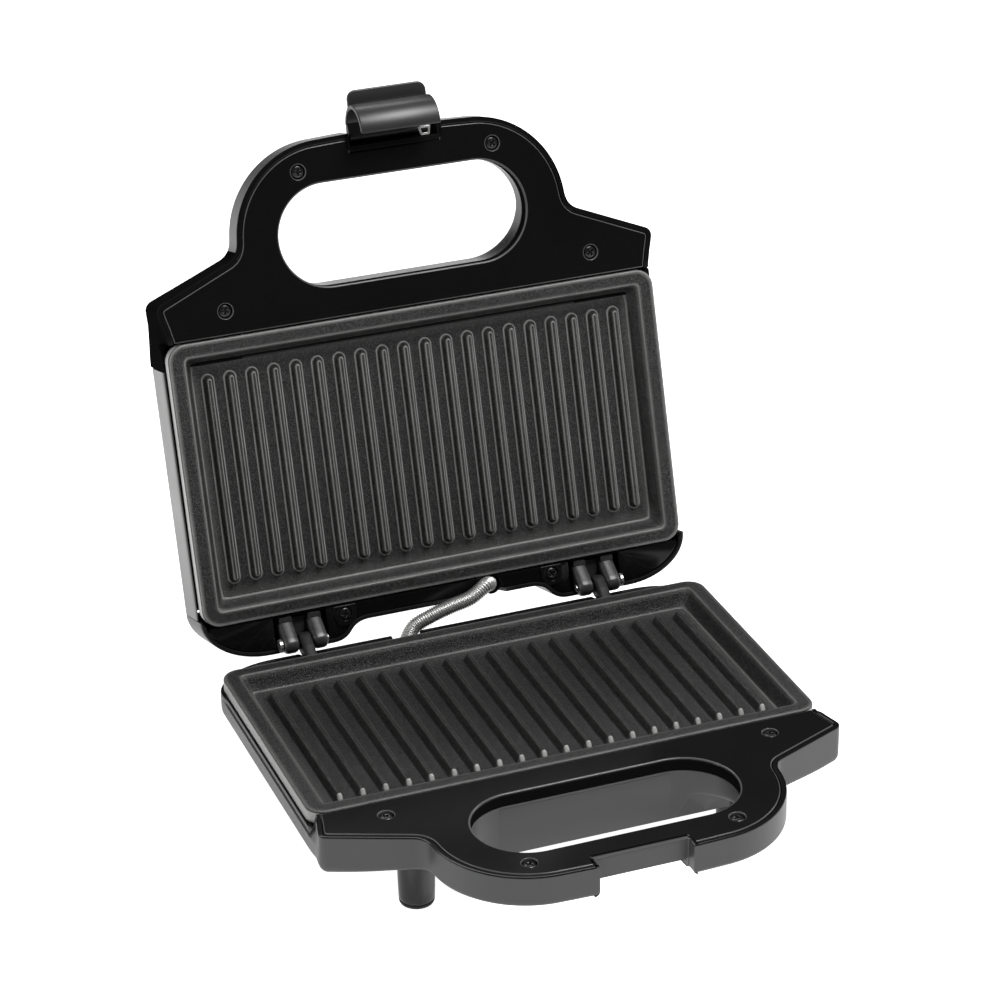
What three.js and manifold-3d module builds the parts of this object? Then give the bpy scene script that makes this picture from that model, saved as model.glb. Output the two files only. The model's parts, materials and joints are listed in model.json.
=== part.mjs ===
// Panini press: two hinged halves with ribbed grill plates, shown with the lid open on its stop.
// Units are millimetres. Each half is drawn in its own frame: x across, y from the grill
// plate's handle edge towards the hinge, and z out of the mating face into the half's depth.
import * as THREE from 'three';
import { mergeVertices } from 'three/addons/utils/BufferGeometryUtils.js';
import Module from 'manifold-3d';

const wasm = await Module();
wasm.setup();

// ---- driving dimensions ----
const GAP = 0.3; // air between touching pieces
const WALL = 2.4; // plastic shells
const PLATE_HALF_WIDTH = 115;
const PLATE_DEPTH = 127;
const PLATE_CORNER = 8;
const RIM_HEIGHT = 6.2; // side wall of a grill plate
const PAN_DEPTH = 10.2; // underside of a grill plate's floor
const RECESS_DEPTH = 7.7;
const RECESS_SIDE = 7.4;
const RECESS_END = 6.5;
const RECESS_RUN = 3.8;
const RIB_COUNT = 20;
const RIB_PITCH = 10.17;
const RIB_START = 15.8;
const RIB_END = 110.2;
const RIB_HEIGHT = 3.6;

const BODY_HALF_WIDTH = 116.5;
const WIDEST_HALF = 117.4; // at the wings' front corners
const CORNER_SPARE = 0.6;
const LOOP_CENTRE_X = 35.3;
const LOOP_CENTRE_Y = -37.7;
const LOOP_RADIUS = 42;
const LOOP_CROWN = -80.6;
const HOLE_RADIUS = 22.8;
const LOOP_DEPTH = 14;
const FACE_THICKNESS = 3;
const FACE_FLANGE = 5.6;
const NOTCH_HALF_WIDTH = 20.5;
const NOTCH_FACE_Y = -74.5;
const NOTCH_LEDGE = 9.5;

const LID_DEPTH = 29;
const TRAY_DEPTH = 21; // base, under the side walls
const BASE_DEPTH = 30; // base, under the sump in its middle
const SUMP_HALF_WIDTH = 66;
const SUMP_FRONT_Y = -15;
const SUMP_ROUND = 5;
const BODY_RIM = 6.5; // where a body's side wall starts below the mating face
const LID_FRONT_END = 11.4;
const LID_REAR_START = 124;
const LID_REAR_Y = 144;
const SCOOP_Y = 136;
const BASE_REAR_Y = 138.5;
const BASE_REAR_RIM = 5.2;
const REAR_ROUND_X = 30; // the bodies' rear corners, seen from above
const REAR_ROUND_Y = 20;
const FLOOR_LEVEL = 48; // below the base's mating face

const HINGE_Y = 140.33;
const HINGE_DROP = 0.76; // hinge axis below the base's mating face
const CLOSED_GAP = 0.8; // between the two mating faces when shut
const LID_OPEN_DEGREES = 107.16;
const HINGE_X = 70.9;
const KNUCKLE_RADIUS = 4.2;
const PIN_RADIUS = 1.6;

const LATCH_PIVOT_Y = -77.8;
const LATCH_PIVOT_Z = 8;
const LATCH_HALF_WIDTH = 18.4;
const HOOK_CENTRE_Y = -80.6;
const HOOK_CENTRE_Z = -1.2;
const HOOK_RADIUS = 12;
const HOOK_THICKNESS = 2;

const SCREW_HEAD_RADIUS = 2.9;
const SCREW_HEAD_HEIGHT = 1.6;
const SCREW_SHANK_RADIUS = 1.5;
const SCREW_LENGTH = 10;
const SCREW_SEGMENTS = 12;
const HANDLE_SCREWS = [[-86.4, -11.4], [86.4, -11.4], [-45.6, -66.8], [45.6, -66.8]];
const REAR_SCREW_X = 49.9;
const REAR_SCREW_Y = 131.7;
const PLATE_SCREW_X = 60;
const PLATE_MIDDLE_Y = PLATE_DEPTH / 2;

const ELEMENT_RADIUS = 3.2;
const ELEMENT_LEVEL = PAN_DEPTH + GAP + ELEMENT_RADIUS;
const SHIELD_LEVEL = 17.6;
const SHIELD_THICKNESS = 0.5;
const CONDUIT_RADIUS = 3.1;
const CONDUIT_LID_X = 20.5;
const CONDUIT_BASE_X = -24;
const COLLAR_LEVEL = 10.6;
const COLLAR_HEIGHT = 4;
const BASE_UNDERSIDE = [[-90, LOOP_DEPTH], [-38, 14.6], [-26, 17], [-12, 19], [0, TRAY_DEPTH]];
const FOOT_X = 72.5;
const FRONT_FOOT_Y = -7;
const REAR_FOOT_Y = 129;
const FOOT_RADIUS = 8.2;
const PAD_RADIUS = FOOT_RADIUS - 0.5;
const PAD_HEIGHT = 2;
const COVER_THICKNESS = 0.6;
const COVER_ROUND = 5;
const SCREW_BOSS_RADIUS = 4.2;
const SLOT_HALF_LENGTH = 1.7; // cross recess in a screw's head
const SLOT_HALF_WIDTH = 0.35;
const SLOT_DEPTH = 0.8;
const BASE_SCREW_HEAD = 25.7; // underside of the heads of the screws from below
const BASE_SCREW_TOP = 27.6;
const BEYOND = 130; // past the body on any side
const VENT_PITCH = 14;
const VENT_HALF_WIDTH = 2.5;
const VENT_Y = [30, 52];
const GLAND_RADIUS = 6;
const GLAND_BORE = 3.4;
const GLAND_FLANGE = 8;
const POCKET_HALF_WIDTH = 12.4; // hinge pockets in the lid's rear shell
const POCKET_DEPTH = 7.5;
const ARM_INNER = 3.1; // the lid's hinge arms, from the hinge's middle
const ARM_OUTER = 10.4;
const KNUCKLE_HALF_WIDTH = 2.7;
const BRACKET_Y = [129.6, 139.5];
const BRACKET_Z = [4.9, 7.2];
const LID_ARM = [[129.6, 7.2], [129.6, 3], [136.6, -3.6], [143.9, 0.4], [141.2, 4.6], [139.5, 7.2]];
const BASE_NECK = [[129, 9.7], [129, 3.4], [134, -0.6], [138.6, -3], [144, 2.6], [141.4, 5.2], [138.6, 6.1],
  [135.7, 6.1], [135.7, 9.7]];
const HOOK_START_DEGREES = 104;
const HOOK_END_DEGREES = 272;
const HUB_RADIUS = 2.7;
const LATCH_WEB = [[-79.2, 10.3], [-84.2, 9.9], [-83.6, 7.6], [-79, 6.2]];
const TAB_END_Y = -98.6;
const TAB_ROOT_Y = -90.6;
const TAB_Z = [2.2, 4.2];
const TAB_CORNER = 5;
const ELEMENT_REACH = 92;
const ELEMENT_NEAR = 24;
const ELEMENT_FAR = 104;
const ELEMENT_END = 119;
const ELEMENT_BEND = 12;
const ELEMENT_END_X = 16;
const GLAND_X = 34;
const GLAND_DEPTH = 17;
const LENS_X = 12;
const LENS_Y = 7;

// ---- finishes ----
function finish(color, roughness, metalness) {
  return new THREE.MeshStandardMaterial({ color, roughness, metalness });
}

const satinPlastic = () => finish(0x1b1b1c, 0.42, 0);
const glossPlastic = () => finish(0x060606, 0.06, 0);
const castNonStick = () => finish(0x2b2b2b, 0.62, 0.1);
const brushedSteel = () => finish(0xb9b9b7, 0.3, 1);
const darkSteel = () => finish(0x2c2c2e, 0.38, 0.9);
const zincSteel = () => finish(0x9a9a98, 0.4, 1);
const blackRubber = () => finish(0x0e0e0e, 0.8, 0);

// ---- solids ----

/** Turns a closed three.js geometry into a manifold solid. */
function toSolid(geometry) {
  const bare = geometry.clone();
  bare.deleteAttribute('normal');
  bare.deleteAttribute('uv');
  const merged = mergeVertices(bare, 1e-4);
  return new wasm.Manifold(new wasm.Mesh({
    numProp: 3,
    vertProperties: new Float32Array(merged.attributes.position.array),
    triVerts: new Uint32Array(merged.index.array),
  }));
}

/** Turns a manifold solid back into a three.js geometry. */
function toGeometry(solid) {
  const mesh = solid.getMesh();
  const geometry = new THREE.BufferGeometry();
  geometry.setAttribute('position', new THREE.BufferAttribute(new Float32Array(mesh.vertProperties), 3));
  geometry.setIndex(new THREE.BufferAttribute(new Uint32Array(mesh.triVerts), 1));
  geometry.computeVertexNormals();
  return geometry;
}

const union = (solids) => solids.reduce((whole, solid) => whole.add(solid));
const carve = (whole, cutters) => cutters.reduce((left, cutter) => left.subtract(cutter), whole);
const toShape = (outline) => (outline instanceof THREE.Shape ? outline : new THREE.Shape(outline));

/** A shape in x and y, extruded from z0 to z1. */
function prismZ(outline, z0, z1, curveSegments = 10) {
  const options = { depth: z1 - z0, bevelEnabled: false, curveSegments };
  return toSolid(new THREE.ExtrudeGeometry(toShape(outline), options).translate(0, 0, z0));
}

/** A shape in y and z, extruded from x0 to x1. */
function prismX(outline, x0, x1, curveSegments = 10) {
  const options = { depth: x1 - x0, bevelEnabled: false, curveSegments };
  const turn = new THREE.Matrix4().makeBasis(
    new THREE.Vector3(0, 1, 0),
    new THREE.Vector3(0, 0, 1),
    new THREE.Vector3(1, 0, 0),
  );
  return toSolid(new THREE.ExtrudeGeometry(toShape(outline), options).applyMatrix4(turn).translate(x0, 0, 0));
}

/** A shape in x and z, extruded from y0 to y1. */
function prismY(outline, y0, y1, curveSegments = 10) {
  const options = { depth: y1 - y0, bevelEnabled: false, curveSegments };
  const turn = new THREE.Matrix4().makeBasis(
    new THREE.Vector3(1, 0, 0),
    new THREE.Vector3(0, 0, 1),
    new THREE.Vector3(0, -1, 0),
  );
  return toSolid(new THREE.ExtrudeGeometry(toShape(outline), options).applyMatrix4(turn).translate(0, y1, 0));
}

/** A box given by its two opposite corners. */
function block(x0, y0, z0, x1, y1, z1) {
  const geometry = new THREE.BoxGeometry(x1 - x0, y1 - y0, z1 - z0);
  return toSolid(geometry.translate((x0 + x1) / 2, (y0 + y1) / 2, (z0 + z1) / 2));
}

/** A round bar along z. */
function barZ(radius, x, y, z0, z1, segments = 16) {
  const geometry = new THREE.CylinderGeometry(radius, radius, z1 - z0, segments);
  return toSolid(geometry.rotateX(Math.PI / 2).translate(x, y, (z0 + z1) / 2));
}

/** A round bar along x. */
function barX(radius, y, z, x0, x1, segments = 16) {
  const geometry = new THREE.CylinderGeometry(radius, radius, x1 - x0, segments);
  return toSolid(geometry.rotateZ(Math.PI / 2).translate((x0 + x1) / 2, y, z));
}

/** A named mesh in its own material. */
function piece(name, solid, material) {
  const mesh = new THREE.Mesh(toGeometry(solid), material);
  mesh.name = name;
  return mesh;
}

const points = (pairs) => pairs.map(([a, b]) => new THREE.Vector2(a, b));

/** Moves every edge of a closed outline inwards by a distance, with mitred corners. */
function inset(outline, distance) {
  const ring = THREE.ShapeUtils.area(outline) < 0 ? [...outline].reverse() : outline;
  return ring.map((point, index) => {
    const before = ring[(index + ring.length - 1) % ring.length];
    const after = ring[(index + 1) % ring.length];
    const edgeIn = point.clone().sub(before).normalize();
    const edgeOut = after.clone().sub(point).normalize();
    const normal = new THREE.Vector2(-edgeIn.y - edgeOut.y, edgeIn.x + edgeOut.x).normalize();
    const share = normal.x * -edgeIn.y + normal.y * edgeIn.x;
    return point.clone().addScaledVector(normal, distance / share);
  });
}

/** Seen from above: the handle's loop and wings, carried back to y = rear. */
function handleOutline(rear) {
  const shape = new THREE.Shape();
  shape.moveTo(-BODY_HALF_WIDTH, rear);
  shape.lineTo(-BODY_HALF_WIDTH, -8);
  shape.lineTo(-WIDEST_HALF, -17.4);
  shape.lineTo(-83, -32);
  shape.quadraticCurveTo(-77.9, -34, -77.3, -40);
  shape.absarc(-LOOP_CENTRE_X, LOOP_CENTRE_Y, LOOP_RADIUS, Math.PI * 1.02, Math.PI * 1.5, false);
  const shoulder = LOOP_CENTRE_Y - LOOP_RADIUS;
  shape.quadraticCurveTo(0, 2 * LOOP_CROWN - shoulder, LOOP_CENTRE_X, shoulder);
  shape.absarc(LOOP_CENTRE_X, LOOP_CENTRE_Y, LOOP_RADIUS, -Math.PI * 0.5, -Math.PI * 0.02, false);
  shape.quadraticCurveTo(77.9, -34, 83, -32);
  shape.lineTo(WIDEST_HALF, -17.4);
  shape.lineTo(BODY_HALF_WIDTH, -8);
  shape.lineTo(BODY_HALF_WIDTH, rear);
  return shape.getPoints(8);
}

/** The hand hole's stadium outline, grown by a margin. */
function holeOutline(margin = 0) {
  const radius = HOLE_RADIUS + margin;
  const shape = new THREE.Shape();
  shape.absarc(LOOP_CENTRE_X, LOOP_CENTRE_Y, radius, -Math.PI / 2, Math.PI / 2, false);
  shape.absarc(-LOOP_CENTRE_X, LOOP_CENTRE_Y, radius, Math.PI / 2, Math.PI * 1.5, false);
  return shape.getPoints(10);
}

/** A rectangle with rounded corners, from (x0, y0) to (x1, y1). */
function roundedRectangle(x0, y0, x1, y1, radius) {
  const shape = new THREE.Shape();
  shape.absarc(x1 - radius, y1 - radius, radius, 0, Math.PI / 2, false);
  shape.absarc(x0 + radius, y1 - radius, radius, Math.PI / 2, Math.PI, false);
  shape.absarc(x0 + radius, y0 + radius, radius, Math.PI, Math.PI * 1.5, false);
  shape.absarc(x1 - radius, y0 + radius, radius, Math.PI * 1.5, Math.PI * 2, false);
  return shape.getPoints(4);
}

/** Seen along y: the body's width with rounded outer edges, shrunk by a margin. */
function widthProfile(depth, roundX, roundZ, margin) {
  const half = WIDEST_HALF + CORNER_SPARE - margin;
  const top = depth - margin;
  const shape = new THREE.Shape();
  shape.moveTo(-half, -1);
  shape.lineTo(half, -1);
  shape.absellipse(half - roundX, top - roundZ, roundX, roundZ, 0, Math.PI / 2, false, 0);
  shape.absellipse(-half + roundX, top - roundZ, roundX, roundZ, Math.PI / 2, Math.PI, false, 0);
  return shape.getPoints(4);
}

/** Rim-level cut where the handle's corner steps in to meet the grill plate. */
function cornerRelief(side) {
  const shape = new THREE.Shape();
  shape.moveTo(side * 113.8, 1);
  shape.lineTo(side * 113.8, -1.5);
  shape.quadraticCurveTo(side * 114.3, -12, side * 118, -16.8);
  shape.lineTo(side * 124, -16.8);
  shape.lineTo(side * 124, 1);
  return prismZ(shape.getPoints(4), -1, BODY_RIM);
}

/** Pillars for the screws that hold the glossy handle face, with pilot holes. */
function handleBosses() {
  return union(HANDLE_SCREWS.map(([x, y]) => barZ(SCREW_BOSS_RADIUS, x, y, FACE_THICKNESS + GAP, LID_DEPTH)));
}

function handlePilots() {
  return HANDLE_SCREWS.map(([x, y]) => barZ(SCREW_SHANK_RADIUS + GAP, x, y, 0, SCREW_LENGTH + 1, 10));
}

/** The latch notch at the handle's front: a full cut, or one that leaves a ledge to hook on. */
function latchNotch(height) {
  const cut = block(-NOTCH_HALF_WIDTH, -90, -1, NOTCH_HALF_WIDTH, NOTCH_FACE_Y, 40);
  const pocket = block(-NOTCH_HALF_WIDTH, -90, height, NOTCH_HALF_WIDTH, -68, 40);
  return cut.add(pocket);
}

/** The wall that a latch notch needs behind it, before the notch is cut. */
function notchBacking() {
  const reach = NOTCH_HALF_WIDTH + WALL;
  return block(-reach, LOOP_CROWN, 0, reach, NOTCH_FACE_Y + WALL, 40);
}

/** Handle half shared by both shells: outer form, cavity, hand hole and bosses. */
function handleShell(sideOutline, cavityOutline, depth, roundX, roundZ, rear, cavityRear, extras, corners) {
  const outer = prismZ(handleOutline(rear), 0, depth)
    .intersect(prismX(sideOutline, -BEYOND, BEYOND))
    .intersect(prismY(widthProfile(depth, roundX, roundZ, 0), -100, 200))
    .intersect(prismZ(corners(0), -2, 60));
  const cavity = prismZ(inset(handleOutline(cavityRear), WALL), -1, depth)
    .intersect(prismX(cavityOutline, -BEYOND, BEYOND))
    .intersect(prismY(widthProfile(depth, roundX, roundZ, WALL), -100, 200))
    .intersect(prismZ(corners(WALL), -2, 60))
    .subtract(prismZ(holeOutline(WALL), FACE_FLANGE + GAP, depth));
  const inside = union([handleBosses(), ...extras]).intersect(outer);
  const faceSeat = prismZ(inset(handleOutline(4), WALL), -1, FACE_THICKNESS + GAP);
  return carve(outer.subtract(cavity).add(inside), [
    faceSeat,
    prismZ(holeOutline(WALL + GAP), -1, FACE_FLANGE + GAP),
    prismZ(holeOutline(), -1, 60),
    ...handlePilots(),
    cornerRelief(-1),
    cornerRelief(1),
  ]);
}

// ---- lid pieces ----

function lidFrontShell() {
  const slope = [[-38, 14.6], [-24, 18.5], [-11, 24.5], [-2, 28]];
  const outer = points([[-90, -1], [-90, LOOP_DEPTH], ...slope, [3, LID_DEPTH], [LID_FRONT_END, LID_DEPTH],
    [LID_FRONT_END, BODY_RIM + 0.5], [-0.4, BODY_RIM + 0.5], [-0.4, -1]]);
  const inner = points([[-90, -2], [-90, LOOP_DEPTH - WALL], ...slope.map(([y, z]) => [y + 1, z - WALL]),
    [3, LID_DEPTH - WALL], [40, LID_DEPTH - WALL], [40, -2]]);
  const square = () => roundedRectangle(-BEYOND, -BEYOND, BEYOND, BEYOND, 1);
  const shell = handleShell(outer, inner, LID_DEPTH, 5, 5, LID_FRONT_END, 40, [notchBacking()], square);
  const pinBore = barX(PIN_RADIUS + 0.1 + GAP, LATCH_PIVOT_Y, LATCH_PIVOT_Z, -24, 24, 12);
  const lampHoles = [-1, 1].map((side) => barZ(3.3, side * LENS_X, LENS_Y, 20, 40, 12));
  return carve(shell, [latchNotch(40), pinBore, ...lampHoles]);
}

/** Steel skin over the lid: a channel with rounded long edges. */
function lidCover() {
  const channel = (margin) => {
    const half = BODY_HALF_WIDTH - margin;
    const top = LID_DEPTH - margin;
    const shape = new THREE.Shape();
    shape.moveTo(-half, BODY_RIM + 0.5 - margin);
    shape.lineTo(half, BODY_RIM + 0.5 - margin);
    shape.absarc(half - COVER_ROUND, top - COVER_ROUND, COVER_ROUND, 0, Math.PI / 2, false);
    shape.absarc(-half + COVER_ROUND, top - COVER_ROUND, COVER_ROUND, Math.PI / 2, Math.PI, false);
    return shape;
  };
  const front = LID_FRONT_END + GAP;
  const rear = LID_REAR_START - GAP;
  const skin = prismY(channel(0), front, rear, 5);
  const inner = prismY(channel(COVER_THICKNESS), front - 1, rear + 1, 5);
  return skin.subtract(inner);
}

/** Plan of the hinge-side moulding with its wide scoop, in which the wiring sleeve runs. */
function rearOutline() {
  const shape = new THREE.Shape();
  shape.moveTo(BODY_HALF_WIDTH, LID_REAR_START);
  const centre = BODY_HALF_WIDTH - REAR_ROUND_X;
  shape.absellipse(centre, LID_REAR_START, REAR_ROUND_X, REAR_ROUND_Y, 0, Math.PI / 2, false, 0);
  shape.lineTo(57, LID_REAR_Y);
  shape.quadraticCurveTo(51, LID_REAR_Y, 48, 140);
  shape.quadraticCurveTo(45, SCOOP_Y, 39, SCOOP_Y);
  shape.lineTo(-39, SCOOP_Y);
  shape.quadraticCurveTo(-45, SCOOP_Y, -48, 140);
  shape.quadraticCurveTo(-51, LID_REAR_Y, -57, LID_REAR_Y);
  shape.absellipse(-centre, LID_REAR_START, REAR_ROUND_X, REAR_ROUND_Y, Math.PI / 2, Math.PI, false, 0);
  return shape.getPoints(5);
}

function lidRearShell() {
  const side = points([[110, -1], [150, -1], [150, 20], [LID_REAR_Y - 2, 23], [138, 27.5], [132, LID_DEPTH],
    [110, LID_DEPTH]]);
  const hollow = points([[110, -2], [160, -2], [160, 18], [LID_REAR_Y - 3, 20.6], [137, 25],
    [131, LID_DEPTH - WALL], [110, LID_DEPTH - WALL]]);
  const outer = prismZ(rearOutline(), 0, LID_DEPTH)
    .intersect(prismX(side, -BEYOND, BEYOND))
    .intersect(prismY(widthProfile(LID_DEPTH, 5, 5, 1.5), 100, 200));
  const openFront = rearOutline().map((point) => {
    const atFront = point.y < LID_REAR_START + 0.01;
    return atFront ? new THREE.Vector2(point.x, LID_REAR_START - 10) : point;
  });
  const cavity = prismZ(inset(openFront, WALL), -1, LID_DEPTH)
    .intersect(prismX(hollow, -BEYOND, BEYOND))
    .intersect(prismY(widthProfile(LID_DEPTH, 5, 5, 1.5 + WALL), 100, 200));
  const hingeBosses = [-1, 1].map((end) => {
    const x = end * HINGE_X;
    return block(x - 9, 129.8, POCKET_DEPTH, x + 9, 140, LID_DEPTH);
  });
  const screwBosses = [-1, 1].map((end) => barZ(SCREW_BOSS_RADIUS, end * REAR_SCREW_X, REAR_SCREW_Y, 1.9,
    LID_DEPTH));
  const inside = union([...hingeBosses, ...screwBosses]).intersect(outer);
  const pockets = [-1, 1].map((end) => {
    const x = end * HINGE_X;
    return block(x - POCKET_HALF_WIDTH, 128, -1, x + POCKET_HALF_WIDTH, 150, POCKET_DEPTH);
  });
  const bore = SCREW_SHANK_RADIUS + GAP;
  const pilots = [-1, 1].map((end) => barZ(bore, end * REAR_SCREW_X, REAR_SCREW_Y, 0, SCREW_LENGTH + 1, 10));
  const seat = PLATE_HALF_WIDTH + 0.4;
  const plateSeat = block(-seat, 100, -1, seat, PLATE_DEPTH + 0.4, BODY_RIM + 0.3);
  const conduitSlot = block(CONDUIT_LID_X - 5, 130, -1, CONDUIT_LID_X + 5, 140, 9);
  return carve(outer.subtract(cavity).add(inside), [...pockets, ...pilots, plateSeat, conduitSlot]);
}

/** Hinge bracket on the lid: a flat foot and two arms that reach down round the pin. */
function lidHingeBracket(side) {
  const centre = side * HINGE_X;
  const axisZ = -HINGE_DROP - CLOSED_GAP;
  const arm = points(LID_ARM);
  const arms = [[-ARM_OUTER, -ARM_INNER], [ARM_INNER, ARM_OUTER]].map(([from, to]) => {
    const eye = barX(KNUCKLE_RADIUS, HINGE_Y, axisZ, centre + from, centre + to);
    return prismX(arm, centre + from, centre + to).add(eye);
  });
  const [nearY, farY] = BRACKET_Y;
  const foot = block(centre - ARM_OUTER, nearY, BRACKET_Z[0], centre + ARM_OUTER, farY, BRACKET_Z[1]);
  const bore = barX(PIN_RADIUS + GAP, HINGE_Y, axisZ, centre - 12, centre + 12, 12);
  return union([foot, ...arms]).subtract(bore);
}

/** Latch seen from its end: hub, curved hook and flared finger tab. */
function latchSolid() {
  const hook = new THREE.Shape();
  const start = THREE.MathUtils.degToRad(HOOK_START_DEGREES);
  const end = THREE.MathUtils.degToRad(HOOK_END_DEGREES);
  const wide = LATCH_HALF_WIDTH;
  hook.absarc(HOOK_CENTRE_Y, HOOK_CENTRE_Z, HOOK_RADIUS, start, end, false);
  hook.absarc(HOOK_CENTRE_Y, HOOK_CENTRE_Z, HOOK_RADIUS - HOOK_THICKNESS, end, start, true);
  const hub = barX(HUB_RADIUS, LATCH_PIVOT_Y, LATCH_PIVOT_Z, -wide, wide, 16);
  const tab = roundedRectangle(-wide, TAB_END_Y, wide, TAB_ROOT_Y + TAB_CORNER + 1, TAB_CORNER);
  const tabSlab = prismZ(tab, TAB_Z[0], TAB_Z[1]).intersect(block(-30, -110, 0, 30, TAB_ROOT_Y, 8));
  const body = union([
    prismX(hook, -wide, wide, 12),
    hub,
    prismX(points(LATCH_WEB), -wide, wide),
    tabSlab,
  ]);
  return body.subtract(barX(PIN_RADIUS - 0.4 + GAP, LATCH_PIVOT_Y, LATCH_PIVOT_Z, -30, 30, 12));
}

// ---- base pieces ----

/** Seen from above: everything inside the base's swept rear corners, shrunk by a margin. */
function rearCorners(margin) {
  const start = BASE_REAR_Y - REAR_ROUND_Y;
  const centre = BODY_HALF_WIDTH - REAR_ROUND_X;
  const roundX = REAR_ROUND_X - margin;
  const roundY = REAR_ROUND_Y - margin;
  const shape = new THREE.Shape();
  shape.moveTo(-BEYOND, -BEYOND);
  shape.lineTo(BEYOND, -BEYOND);
  shape.lineTo(BEYOND, start);
  shape.absellipse(centre, start, roundX, roundY, 0, Math.PI / 2, false, 0);
  shape.absellipse(-centre, start, roundX, roundY, Math.PI / 2, Math.PI, false, 0);
  shape.lineTo(-BEYOND, start);
  return shape.getPoints(6);
}

/** The deeper middle of the base, behind the hand hole, shrunk by a margin. */
function sump(top, margin) {
  const half = SUMP_HALF_WIDTH - margin;
  const low = BASE_DEPTH - margin;
  const front = SUMP_FRONT_Y + margin;
  const rear = BASE_REAR_Y - margin;
  const width = new THREE.Shape();
  width.moveTo(-half, top);
  width.lineTo(half, top);
  width.absarc(half - SUMP_ROUND, low - SUMP_ROUND, SUMP_ROUND, 0, Math.PI / 2, false);
  width.absarc(-half + SUMP_ROUND, low - SUMP_ROUND, SUMP_ROUND, Math.PI / 2, Math.PI, false);
  const length = points([[front, top], [front, low - 1.5], [front + 1.5, low], [rear - 3, low], [rear, low - 3],
    [rear, top]]);
  return prismY(width, front, rear, 3).intersect(prismX(length, -BEYOND, BEYOND));
}

function baseHousing() {
  const lip = BASE_REAR_Y - WALL - 0.2;
  const outer = points([[-90, -1], ...BASE_UNDERSIDE, [145, TRAY_DEPTH], [145, BASE_REAR_RIM],
    [lip, BASE_REAR_RIM], [lip, BODY_RIM], [-0.4, BODY_RIM], [-0.4, -1]]);
  const inner = points([[-90, -2], ...BASE_UNDERSIDE.map(([y, z]) => [y + 1, z - WALL]),
    [160, TRAY_DEPTH - WALL], [160, -2]]);
  const hingeBosses = [-1, 1].map((side) => {
    const x = side * HINGE_X;
    return block(x - 5, 128.6, 10, x + 5, BASE_REAR_Y - 0.5, TRAY_DEPTH);
  });
  const tray = handleShell(outer, inner, TRAY_DEPTH, 8, 8, BASE_REAR_Y, BASE_REAR_Y,
    [...hingeBosses, notchBacking()], rearCorners);
  const middle = sump(TRAY_DEPTH - WALL, 0);
  const plateBosses = [-1, 1].map((side) => {
    const boss = barZ(4, side * PLATE_SCREW_X, PLATE_MIDDLE_Y, 19.2, BASE_DEPTH, 12);
    return boss.intersect(middle);
  });
  const shell = union([tray.add(middle).subtract(sump(TRAY_DEPTH - 2 * WALL, WALL)), ...plateBosses]);
  const knuckleSlots = [-1, 1].map((side) => {
    const x = side * HINGE_X;
    const half = KNUCKLE_HALF_WIDTH + GAP;
    return block(x - half, 134, -1, x + half, 140, BODY_RIM);
  });
  const slotX = -CONDUIT_BASE_X;
  const conduitSlot = block(slotX - 6, 134, 0, slotX + 6, 145, 14.5);
  const glandHole = prismY(circleOutline(-GLAND_X, GLAND_DEPTH, GLAND_RADIUS + GAP), 130, 145);
  const vents = [-2, -1, 0, 1, 2].map((step) => {
    const x = step * VENT_PITCH;
    return block(x - VENT_HALF_WIDTH, VENT_Y[0], TRAY_DEPTH, x + VENT_HALF_WIDTH, VENT_Y[1], 40);
  });
  const screwHoles = [-1, 1].map((side) => {
    const x = side * PLATE_SCREW_X;
    const bore = barZ(SCREW_SHANK_RADIUS + GAP, x, PLATE_MIDDLE_Y, 10, 40, 10);
    const sink = barZ(SCREW_HEAD_RADIUS + GAP, x, PLATE_MIDDLE_Y, BASE_SCREW_HEAD - 0.2, 40, SCREW_SEGMENTS);
    return bore.add(sink);
  });
  const handHole = prismZ(holeOutline(), -1, 60);
  return carve(shell, [handHole, latchNotch(NOTCH_LEDGE), conduitSlot, glandHole, ...vents, ...screwHoles,
    ...knuckleSlots]);
}

/** A foot post, cut off along the underside that it stands under. */
function foot(x, y) {
  const above = points([[-90, -1], ...BASE_UNDERSIDE.map(([place, z]) => [place, z + GAP]),
    [160, TRAY_DEPTH + GAP], [160, -1]]);
  const post = barZ(FOOT_RADIUS, x, y, 18, FLOOR_LEVEL - PAD_HEIGHT - GAP, 24);
  const clear = SUMP_HALF_WIDTH + GAP;
  const aside = block(-clear, SUMP_FRONT_Y - GAP, 0, clear, BASE_REAR_Y + GAP, BASE_DEPTH + GAP);
  return carve(post, [prismX(above, -BEYOND, BEYOND), aside]);
}

/** Middles of the four feet. */
function footPlaces() {
  return [FRONT_FOOT_Y, REAR_FOOT_Y].flatMap((y) => [[-FOOT_X, y], [FOOT_X, y]]);
}

function circleOutline(x, y, radius) {
  const shape = new THREE.Shape();
  shape.absarc(x, y, radius, 0, Math.PI * 2, false);
  return shape.getPoints(8).slice(0, -1);
}

/** Hinge knuckle on the base: a foot inside the rear wall and one eye between the lid's arms. */
function baseHingeKnuckle(side) {
  const centre = side * HINGE_X;
  const from = centre - KNUCKLE_HALF_WIDTH;
  const to = centre + KNUCKLE_HALF_WIDTH;
  const eye = barX(KNUCKLE_RADIUS, HINGE_Y, HINGE_DROP, from, to);
  const bore = barX(PIN_RADIUS + GAP, HINGE_Y, HINGE_DROP, centre - 9, centre + 9, 12);
  return prismX(points(BASE_NECK), from, to).add(eye).subtract(bore);
}

function cordGland() {
  const ring = (radius, y0, y1) => prismY(circleOutline(-GLAND_X, GLAND_DEPTH, radius), y0, y1);
  const bush = ring(GLAND_RADIUS, 132, BASE_REAR_Y + 1);
  const flange = ring(GLAND_FLANGE, BASE_REAR_Y + GAP, BASE_REAR_Y + 2.6);
  return bush.add(flange).subtract(ring(GLAND_BORE, 120, 150));
}

// ---- pieces that both halves have ----

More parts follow.
